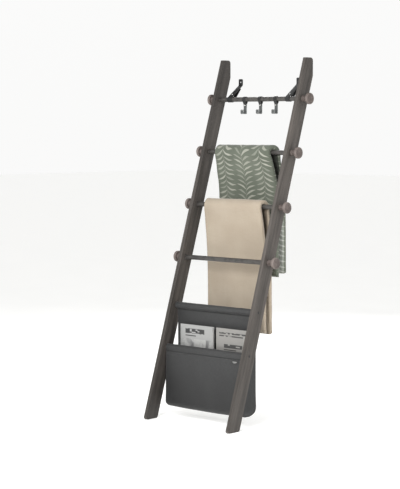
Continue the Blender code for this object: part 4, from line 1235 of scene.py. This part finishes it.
def make_cloth(node, plan, obstacles):
    grid, axis, radius = cloth_start(node, plan)
    hanging = simulate_drape(grid, axis, plan, obstacles)
    hanging = blurred(hanging, 2)
    normals = grid_normals(hanging)
    if normals[0, :, 1].mean() > 0:
        normals = -normals
    rows, columns = hanging.shape[:2]
    line = np.linalg.norm(np.diff(hanging, axis=0), axis=2).mean(axis=1)
    length = line.sum()
    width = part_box(node)[1].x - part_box(node)[0].x
    route, u = fold_route(width, plan["pitch"], 0.0055, 0.011)
    fine_rows = ceil(length / 0.0050) + 1
    place = np.linspace(0.0, 1.0, fine_rows)[:, None]
    offset = route[:, 1][None, :]
    lag = 0.45 * (offset + 1.5 * plan["pitch"])
    along = lag + place * (length - 2.0 * lag)
    row_lengths = np.concatenate([[0.0], np.cumsum(line)])
    row = np.interp(along, row_lengths, np.arange(rows))
    column = np.broadcast_to(route[:, 0][None, :] / width * (columns - 1), row.shape)
    surface, direction = sampled(hanging, row, column), unit(sampled(normals, row, column))
    from_hem = np.minimum(along, length - along)
    opening = 1.0 + 0.16 * (1.0 - smooth_step(from_hem, 0.0, 0.09))
    uu, vv = np.broadcast_to(u[None, :], row.shape), along
    loose = 0.0006 * ripple(uu * 7.0, vv * 5.0, plan["seed"] + 2.0)
    over_rung = np.exp(-(np.maximum(axis.y - sampled(hanging, row, column)[..., 2], 0) / 0.030) ** 2)
    loft = 1.0 + plan["loft"] * over_rung
    inner_ply = -1.5 * plan["pitch"]
    lift = inner_ply + (offset - inner_ply) * loft
    lift = lift * opening + loose
    if node == "quilt":
        lift = lift + 0.0007 * leaf_relief(uu, vv)
        puff = 0.0005 * ripple(uu * 38.0, vv * 38.0, 5.0)
        lift = lift + puff
    grid_out = surface + direction * lift[..., None]
    from_cut = np.minimum(uu, u[-1] - uu)
    edge = np.minimum(from_hem, from_cut)
    hem = 1.0 - smooth_step(edge, plan["hem"] - 0.001, plan["hem"] + 0.001)
    seam = np.exp(-((edge - plan["hem"]) / 0.0011) ** 2)
    thickness = plan["thick"] * (1.0 - 0.06 * (1 - hem)) + 0.0005 * hem - 0.0012 * seam
    # Inner ply shown with the cloth's paler back only low down: partly the back's own colour, partly painted
    # light, kept away from the shaded top of the fold.
    inner = smooth_step(-offset, 1.2 * plan["pitch"], 1.4 * plan["pitch"])
    drop = axis.y - grid_out[..., 2]
    inner = inner * smooth_step(drop, 0.20, 0.36)
    # Painted shade: the inner ply darkened near the rung, where the fold is shaded.
    painted_shade = 1.0 - smooth_step(drop, 0.06, 0.24)
    painted_shade = painted_shade * smooth_step(-offset, 1.2 * plan["pitch"], 1.4 * plan["pitch"])
    marks = {"stitch": np.exp(-((edge - plan["hem"]) / 0.0016) ** 2), "wear": hem,
             "pale_back_and_painted_light": inner, "painted_shade": painted_shade}
    mesh = thick_sheet(f"{node}_cloth", grid_out, thickness, np.stack([uu, vv], axis=-1), marks)
    piece = add_piece(f"{node}_cloth", mesh, plan["look"], plan["body"], [node])
    sewn = np.searchsorted(place[:, 0] * length, plan["hem"] - 0.0025)
    surface_normals = grid_normals(grid_out)
    if surface_normals[0, 5, 1] > 0:
        surface_normals = -surface_normals
    ply_end = int(np.argmax(route[:, 0]))
    lines = []
    for index in (sewn, fine_rows - 1 - sewn):
        on_top = grid_out[index] + surface_normals[index] * (0.5 * thickness[index])[:, None]
        lines.append((on_top[1:ply_end], surface_normals[index, 1:ply_end]))
    side = int(np.searchsorted(u, plan["hem"] - 0.0025))
    on_top = grid_out[:, side] + surface_normals[:, side] * (0.5 * thickness[:, side])[:, None]
    lines.append((on_top[2:-2], surface_normals[2:-2, side]))
    thread = stitches(f"{node}_hem_stitches", lines, *CLOTH_STITCH, plan["thread"],
                      plan["body"], plan["look"])
    return piece


def make_cloths():
    for name, plan in CLOTHS.items():
        _, axis, radius = cloth_start(name, plan)
        make_cloth(name, plan, [(axis, radius - DRAPE_CLEARANCE)])


# ---------------------------------------------------------------- hanging magazine bag
BAG_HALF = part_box("bag_panel")[1].x
BAG_FRONT_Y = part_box("bag_panel")[0].y
BAG_FLOOR_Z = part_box("bag_panel")[0].z
SIDE_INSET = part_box("bag_side_left")[0].z - BAG_FLOOR_Z
BAG_BACK_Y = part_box("bag_side_left")[1].y + SIDE_INSET
BAG_SIDE_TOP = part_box("bag_side_left")[1].z
SLEEVE_MIDDLE = TUBE_RADIUS + 0.0006 + 0.5 * BAG_FABRIC


def bag_line():
    """Middle line of the main panel in (y, z), with the run that each point belongs to."""
    half = 0.5 * BAG_FABRIC
    low_bar, high_bar = BAR_AXES["lower"], BAR_AXES["upper"]
    front, back = BAG_FRONT_Y + half, BAG_BACK_Y - half
    low_seam = Vector((low_bar.x - SEAM_REACH, low_bar.y - SLEEVE_DROP))
    high_seam = Vector((back - SEAM_GROOVE, high_bar.y - SLEEVE_DROP))
    tuck = Vector((1.4 * BAG_FABRIC, 0.0))
    reach = SLEEVE_MIDDLE
    low_start = touch_angle(reach, low_seam + tuck - low_bar, 1)
    low_end = touch_angle(reach, low_seam - low_bar, -1) + 2 * pi
    high_start = touch_angle(reach, high_seam - high_bar, 1)
    high_end = touch_angle(reach, high_seam - tuck - high_bar, -1) + 2 * pi
    floor = BAG_FLOOR_Z
    front_arc = arc((BAG_FRONT_Y + BAG_FRONT_RADIUS, floor + BAG_FRONT_RADIUS),
                    BAG_FRONT_RADIUS - half, pi, 1.5 * pi, 9)
    back_arc = arc((BAG_BACK_Y - BAG_BACK_RADIUS, floor + BAG_BACK_RADIUS),
                   BAG_BACK_RADIUS - half, -0.5 * pi, 0.0, 11)
    low_loop = [low_bar + p for p in arc((0, 0), reach, low_start, low_end, 32)]
    high_loop = [high_bar + p for p in arc((0, 0), reach, high_start, high_end, 32)]

    def run(a, b, spacing):
        count = max(2, ceil((b - a).length / spacing))
        return [a.lerp(b, k / count) for k in range(1, count)]

    def hang(point):
        """The front hangs a little behind the sleeve at the seam and comes forward below it."""
        depth = low_seam.y - point.y
        groove = (low_seam.x - front - FRONT_SETBACK) * exp(-depth / 0.006)
        setback = FRONT_SETBACK * (1.0 - smooth_step(depth, 0.0, 0.13))
        return Vector((front + groove + setback, point.y))

    front_top = Vector((front, low_seam.y))
    front_knee = Vector((front, low_seam.y - FRONT_KNEE_DROP))
    parts = [
        ("sleeve", [low_seam + tuck] + run(low_seam + tuck, low_loop[0], 0.004) + low_loop
         + run(low_loop[-1], low_seam, 0.003) + [low_seam]),
        ("front", [hang(p) for p in run(front_top, front_knee, 0.003)]
         + [hang(p) for p in run(front_knee, front_arc[0], 0.0065)]),
        ("floor", front_arc + run(front_arc[-1], back_arc[0], 0.005) + back_arc),
        ("back", run(back_arc[-1], high_seam, 0.0075) + [high_seam]),
        ("sleeve", run(high_seam, high_loop[0], 0.003) + high_loop
         + run(high_loop[-1], high_seam - tuck, 0.004) + [high_seam - tuck]),
    ]
    points = [p for _, part in parts for p in part]
    runs = [kind for kind, part in parts for _ in part]
    return points, runs


def bag_grid():
    """Main panel of the bag: rows along its line, columns along X, with its sag and creases."""
    points, runs = bag_line()
    columns = ceil(2 * BAG_HALF / 0.0075) + 1
    share = np.linspace(-1.0, 1.0, columns)[None, :]
    y = np.array([p.x for p in points])[:, None]
    z = np.array([p.y for p in points])[:, None]
    kinds = np.array(runs)[:, None]
    low_seam = BAR_AXES["lower"].y - SLEEVE_DROP
    high_seam = BAR_AXES["upper"].y - SLEEVE_DROP
    height = np.clip((z - BAG_FLOOR_Z) / (low_seam - BAG_FLOOR_Z), 0.0, 1.0)
    inset = 0.0075 * (1.0 - smooth_step(z, BAG_FLOOR_Z, BAG_FLOOR_Z + 0.020))
    is_body = (kinds != "sleeve").astype(float)
    inset = inset + 0.0022 * np.sin(pi * height) * is_body
    x = share * (BAG_HALF - inset)
    middle_share = 1.0 - share ** 2
    front_like = np.isin(kinds, ["front", "floor"]) & (y < BAG_FRONT_Y + BAG_FRONT_RADIUS)
    back_like = np.isin(kinds, ["back", "floor"]) & (y > BAG_BACK_Y - BAG_BACK_RADIUS)
    down = np.clip((low_seam - z) / (low_seam - BAG_FLOOR_Z), 0.0, 1.0)
    belly = np.sin(pi * np.clip(down, 0, 1) ** 0.8) * middle_share ** 0.6
    crease = ripple(x * 16.0, z * 9.0, 1.3) * smooth_step(down, 0.0, 0.12)
    pull = np.sin((x * np.sign(x) * 70.0 + z * 95.0)) * np.exp(-down / 0.16) * np.abs(share) ** 3
    pucker = np.sin(x * 2 * pi / 0.0125) * np.exp(-down / 0.03)
    forward = 0.0052 * belly + 0.0011 * crease + 0.0007 * pull + 0.00028 * pucker
    y_out = y - np.where(front_like, forward, 0.0)
    rise = np.clip((high_seam - z) / (high_seam - BAG_FLOOR_Z), 0.0, 1.0)
    backward = 0.0024 * np.sin(pi * rise) * middle_share + 0.0013 * ripple(x * 13.0, z * 8.0, 6.2)
    y_out = y_out + np.where(back_like, backward * smooth_step(rise, 0.0, 0.08), 0.0)
    sag = 0.0034 * middle_share * (1.0 - smooth_step(z, BAG_FLOOR_Z, BAG_FLOOR_Z + 0.05)) * is_body
    z_out = z - sag
    slack = 0.00035 * ripple(x * 45.0, z * 30.0 + y * 60.0, 4.4) * (1.0 - is_body)
    grid = np.stack([x, np.broadcast_to(y_out, x.shape), np.broadcast_to(z_out, x.shape)], axis=-1)
    grid = grid + grid_normals(grid) * slack[..., None]
    return grid, runs


def seam_line(grid, row=None, column=None, rows=None):
    """Points and outward normals along one row or column of the bag's panel."""
    normals = grid_normals(grid)
    if row is not None:
        points, out = grid[row], normals[row]
    else:
        points, out = grid[rows, column], normals[rows, column]
    centre = np.array([0.0, 0.5 * (BAG_FRONT_Y + BAG_BACK_Y), 0.2])
    if ((points - centre) * out).sum(axis=-1).mean() < 0:
        out = -out
    return points + out * (0.5 * BAG_FABRIC), out


def make_side(word, side, panel, runs):
    """Gusset between the panel's front and back edges, with a soft inward crease."""
    kinds = np.array(runs)
    edge = panel[:, -1 if side > 0 else 0]
    body_rows = np.where(kinds != "sleeve")[0]
    outline = edge[body_rows]
    outline = outline[outline[:, 2] <= BAG_SIDE_TOP]
    lowest = int(np.argmin(outline[:, 2]))
    columns, rows = 25, 44
    t = np.linspace(0.0, 1.0, columns)
    front, back = outline[:lowest + 1], outline[lowest:]
    heights = np.linspace(0.0, 1.0, rows)
    base = outline[(outline[:, 2] < BAG_FLOOR_Z + 0.045)]
    base_s = np.concatenate([[0.0], np.cumsum(np.linalg.norm(np.diff(base, axis=0), axis=1))])
    floor_line = np.stack([np.interp(t * base_s[-1], base_s, base[:, k]) for k in range(3)], axis=-1)
    grid = np.zeros((rows, columns, 3))
    for i, h in enumerate(heights):
        for j in range(columns):
            low = floor_line[j]
            z = low[2] + (BAG_SIDE_TOP - low[2]) * h
            y_front = np.interp(z, front[::-1, 2], front[::-1, 1])
            y_back = np.interp(z, back[:, 2], back[:, 1])
            straight = y_front + (y_back - y_front) * t[j]
            y = low[1] + (straight - low[1]) * min(1.0, h * 3.0)
            x_edge = np.interp(z, front[::-1, 2], np.abs(front[::-1, 0]))
            fold = 1.0 - abs(2.0 * t[j] - 1.0) ** 1.35
            tuck = (0.0008 + 0.0020 * h ** 1.5) * fold * min(1.0, h * 4.0 + 0.1)
            grid[i, j] = (side * (x_edge - tuck - 0.5 * BAG_FABRIC), y, z)
    inset = BAG_FABRIC * 0.75
    grid[:, 0, 1] += inset
    grid[:, -1, 1] -= inset
    grid[0, :, 2] += inset
    grid[..., 0] += side * 0.0004 * ripple(grid[..., 1] * 40.0, grid[..., 2] * 22.0, 8.8 + side)
    uv = flat_coordinates(grid)
    from_top = BAG_SIDE_TOP - grid[..., 2]
    marks = {"stitch": np.zeros((rows, columns)), "wear": 1.0 - smooth_step(from_top, 0.0, 0.003)}
    thickness = BAG_FABRIC * (0.8 + 0.35 * (1.0 - smooth_step(from_top, 0.0095, 0.0105)))
    name = f"bag_gusset_{word}"
    mesh = thick_sheet(name, grid, thickness, uv, marks)
    piece = add_piece(name, mesh, "bag_fabric", "root", [f"bag_side_{word}"])
    normals = grid_normals(grid)
    if normals[..., 0].mean() * side < 0:
        normals = -normals
    hem_row = int(np.argmin(np.abs(from_top[:, columns // 2] - BAG_HEM_SEAM)))
    line = grid[hem_row] + normals[hem_row] * (0.5 * BAG_FABRIC)
    return line, normals[hem_row]


def painted_seam_shade(panel, kinds):
    """Painted shade in the two sleeve seams and on the upward side of the rolls."""
    shade = np.zeros(panel.shape[:2])
    for bar in BAR_AXES.values():
        below = bar.y - SLEEVE_DROP - panel[..., 2]
        # Painted shade: a dark line just under each sleeve's seam.
        line = 0.85 * np.exp(-(below / 0.0030) ** 2)
        near = np.hypot(panel[..., 1] - bar.x, panel[..., 2] - bar.y) < 0.030
        # Painted shade: the top of each roll darker, where less light falls.
        top = 0.45 * smooth_step(panel[..., 2] - bar.y, 0.002, 0.011)
        sleeve = (kinds == "sleeve")[:, None]
        shade = np.maximum(shade, np.where(near, np.where(sleeve, top, 0.0) + line, 0.0))
    return np.clip(shade, 0.0, 0.9)


def make_bag():
    panel, runs = bag_grid()
    kinds = np.array(runs)
    uv = flat_coordinates(panel)
    columns = panel.shape[1]
    from_side = BAG_HALF - np.abs(panel[..., 0])
    # The painted shade of the sleeve seams and roll tops goes on as a mark.
    marks = {"wear": (1.0 - smooth_step(from_side, 0.0, 0.003)) * 0.8, "painted_shade": painted_seam_shade(panel, kinds)}
    binding = 1.0 - smooth_step(from_side, 0.0085, 0.0100)
    thickness = BAG_FABRIC * (0.86 + 0.30 * binding)
    mesh = thick_sheet("bag_main_panel", panel, thickness, uv, marks)
    piece = add_piece("bag_main_panel", mesh, "bag_fabric", "root", ["bag_panel"])
    body_rows = np.where(kinds != "sleeve")[0]
    first, last = body_rows[0], body_rows[-1]
    side_column = int(round(BAG_SIDE_SEAM / (2 * BAG_HALF) * (columns - 1)))
    lines = [seam_line(panel, row=row) for row in (first, first + 1, last - 1, last)]
    for column in (side_column, columns - 1 - side_column):
        lines.append(seam_line(panel, column=column, rows=slice(first + 1, last)))
    for word, side in SIDES:
        lines.append(make_side(word, side, panel, runs))
    stitches("bag_stitches", lines, *BAG_STITCH, "bag_thread", "root", "bag_fabric")
    make_label(panel, kinds)


def make_label(panel, kinds):
    """Small woven tag sewn on the bag's front, at the right."""
    low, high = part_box("bag_label")
    front = panel[kinds == "front"]
    across, up = 22, 12
    x = np.linspace(low.x, high.x, across)
    z = np.linspace(low.z, high.z, up)
    grid = np.zeros((up, across, 3))
    for i, level in enumerate(z):
        row = int(np.argmin(np.abs(front[:, 0, 2] - level)))
        y = np.interp(x, front[row, :, 0], front[row, :, 1])
        grid[i] = np.stack([x, y, np.full(across, level)], axis=-1)
    grid[..., 1] = blurred(grid[..., 1:2], 4)[..., 0]
    rise = 0.5 * BAG_FABRIC + 0.0007
    grid[..., 1] -= rise + 0.0003 * ripple(grid[..., 0] * 90.0, grid[..., 2] * 90.0, 2.0)
    u, v = np.meshgrid(np.linspace(0, 1, across), np.linspace(0, 1, up))
    mesh = thick_sheet("bag_tag", grid, 0.0007, np.stack([u, v], axis=-1))
    piece = add_piece("bag_tag", mesh, "label", "root", ["bag_label"])


# ---------------------------------------------------------------- magazines
COVERS = {
    "left": {"paper": (0.29, 0.29, 0.285), "ink": (0.020, 0.020, 0.021), "picture": (0.05, 0.83),
             "bars": ((0.16, 0.74, 0.895, 0.955, True), (0.16, 0.48, 0.862, 0.874, False),
                      (0.12, 0.46, 0.13, 0.15, True), (0.12, 0.38, 0.10, 0.115, True)),
             "seed": 1.0},
    "right": {"paper": (0.225, 0.218, 0.206), "ink": (0.030, 0.029, 0.028), "picture": (0.05, 0.58),
              "bars": ((0.10, 0.90, 0.935, 0.955, True), (0.10, 0.80, 0.905, 0.920, True),
                       (0.24, 0.78, 0.770, 0.815, True), (0.24, 0.60, 0.742, 0.752, False)),
              "seed": 4.0},
}
COVER_THICKNESS = 0.0004
SPINE_RADIUS = 0.0022


def make_magazine(word):
    """A block of leaves in a glossy cover that is folded round its spine."""
    node = f"magazine_{word}"
    low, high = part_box(node)
    body = f"{word}_magazine"
    plan = COVERS[word]
    cover_look(f"cover_{word}", plan["paper"], plan["ink"], plan["bars"], plan["picture"],
               plan["seed"])
    half = 0.5 * COVER_THICKNESS
    x0, x1, y0, y1 = low.x + half, high.x - half, low.y + half, high.y - half
    r = SPINE_RADIUS
    back = [(x, y1) for x in np.linspace(x1, x0 + r, 24)]
    spine = [(x0 + r - r * sin(a), y1 - r + r * cos(a)) for a in np.linspace(0, pi / 2, 7)[1:]]
    spine += [(x0 + r - r * cos(a), y0 + r - r * sin(a)) for a in np.linspace(0, pi / 2, 7)]
    front = [(x, y0) for x in np.linspace(x0 + r, x1, 40)[1:]]
    line = np.array(back + spine + front)
    levels = np.linspace(low.z + half, high.z - half, 64)
    grid = np.zeros((len(levels), len(line), 3))
    grid[..., 0], grid[..., 1] = line[None, :, 0], line[None, :, 1]
    grid[..., 2] = levels[:, None]
    first_front = len(back) + len(spine)
    width = x1 - x0
    u = np.full(len(line), 1.5)
    u[first_front - 1:] = (line[first_front - 1:, 0] - x0) / width
    u[:first_front - 1] = -0.4 - np.arange(first_front - 1)[::-1] * 0.02
    share = np.clip(u, 0.0, 1.0)[None, :]
    level_share = ((levels - levels[0]) / (levels[-1] - levels[0]))[:, None]
    curl = smooth_step(share, 0.55, 1.0) * smooth_step(level_share, 0.80, 1.0)
    bow = np.sin(pi * share) * 0.0006
    grid[..., 1] -= 0.0032 * curl + bow
    uv = np.stack([np.broadcast_to(u[None, :], grid.shape[:2]),
                   np.broadcast_to(level_share, grid.shape[:2])], axis=-1)
    mesh = thick_sheet(f"cover_sheet_{word}", grid, COVER_THICKNESS, uv)
    cover = add_piece(f"cover_sheet_{word}", mesh, f"cover_{word}", body, [node])
    shape = bmesh.new()
    bmesh.ops.create_cube(shape, size=1.0)
    gap = COVER_THICKNESS + 0.0002
    leaf_low = Vector((low.x + gap + 0.0006, low.y + gap, low.z + 0.0012))
    leaf_high = Vector((high.x - 0.0014, high.y - gap, high.z - 0.0012))
    centre, spread = 0.5 * (leaf_low + leaf_high), leaf_high - leaf_low
    bmesh.ops.transform(shape, matrix=Matrix.Translation(centre) @ Matrix.Diagonal((*spread, 1.0)),
                        verts=shape.verts)
    block = bpy.data.meshes.new(f"leaf_block_{word}")
    shape.to_mesh(block)
    shape.free()
    block = bevelled(block, 0.0006, 0.00001, 2)
    add_piece(f"leaf_block_{word}", block, "paper", body)
    return cover


# ---------------------------------------------------------------- carried-over hardware, stage
def finish_hidden_hardware():
    """Plugs and studs keep their frame solids, with plated metal on them."""
    for word, _ in SIDES:
        for number in RUNG_NUMBERS:
            for kind in ("insert", "stud"):
                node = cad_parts[f"{word}_{kind}_{number}"]
                for slot in node.material_slots:
                    slot.material = LOOKS["bright_steel"]


def area_light(name, place, target, width, height, power, colour=(1.0, 1.0, 1.0)):
    data = bpy.data.lights.new(name, "AREA")
    data.shape = "RECTANGLE"
    data.size, data.size_y = width, height
    data.energy = power
    data.color = colour
    obj = bpy.data.objects.new(name, data)
    SCENE.collection.objects.link(obj)
    obj.location = place
    obj.rotation_euler = (Vector(target) - Vector(place)).to_track_quat("-Z", "Y").to_euler()


def make_world():
    """White studio that meets the floor's tone at the horizon and is softer overhead."""
    world = bpy.data.worlds.new("studio")
    world.use_nodes = True
    tree = world.node_tree
    backdrop = tree.nodes["Background"]
    direction = tree.nodes.new("ShaderNodeTexCoord").outputs["Generated"]
    parts = tree.nodes.new("ShaderNodeSeparateXYZ")
    tree.links.new(direction, parts.inputs[0])
    ramp = tree.nodes.new("ShaderNodeValToRGB")
    stops = ((0.0, 0.955), (0.10, 0.965), (0.35, 0.93), (1.0, 0.66))
    while len(ramp.color_ramp.elements) < len(stops):
        ramp.color_ramp.elements.new(0.5)
    for element, (height, tone) in zip(ramp.color_ramp.elements, stops):
        element.position = height
        element.color = (tone, tone, 0.994 * tone, 1.0)
    tree.links.new(parts.outputs["Z"], ramp.inputs["Fac"])
    tree.links.new(ramp.outputs["Color"], backdrop.inputs["Color"])
    SCENE.world = world


def make_stage():
    half = 0.5 * FLOOR_SIZE
    corners = [(-half, -half, 0), (half, -half, 0), (half, half, 0), (-half, half, 0)]
    mesh = bpy.data.meshes.new("studio_floor")
    mesh.from_pydata(corners, [], [(0, 1, 2, 3)])
    floor = bpy.data.objects.new("studio_floor", mesh)
    SCENE.collection.objects.link(floor)
    mesh.materials.append(floor_look())
    make_world()
    SCENE.view_settings.view_transform = "Standard"
    area_light("key", (0.85, -2.30, 1.95), (0.1, 0.0, 0.95), 0.9, 1.3, 66)
    area_light("side", (2.3, -0.5, 1.5), (0.2, 0.05, 1.0), 0.7, 1.4, 16)
    area_light("back", (-1.6, 2.9, 2.3), (0.0, 0.1, 0.9), 1.6, 1.6, 42)
    data = bpy.data.cameras.new("view")
    data.lens = CAMERA_LENS
    data.sensor_width = 36.0
    data.sensor_fit = "AUTO"
    data.shift_x, data.shift_y = CAMERA_SHIFT
    data.clip_end = 200.0
    camera = bpy.data.objects.new("view", data)
    SCENE.collection.objects.link(camera)
    camera.location = CAMERA_PLACE
    camera.rotation_euler = (pi / 2 - CAMERA_PITCH, 0.0, CAMERA_TURN)
    SCENE.camera = camera


make_rails()
make_tubes()
make_knobs()
make_bolts()
make_brackets()
make_hooks()
make_bag()
make_cloths()
for magazine_word, _ in SIDES:
    make_magazine(magazine_word)
finish_hidden_hardware()
make_stage()
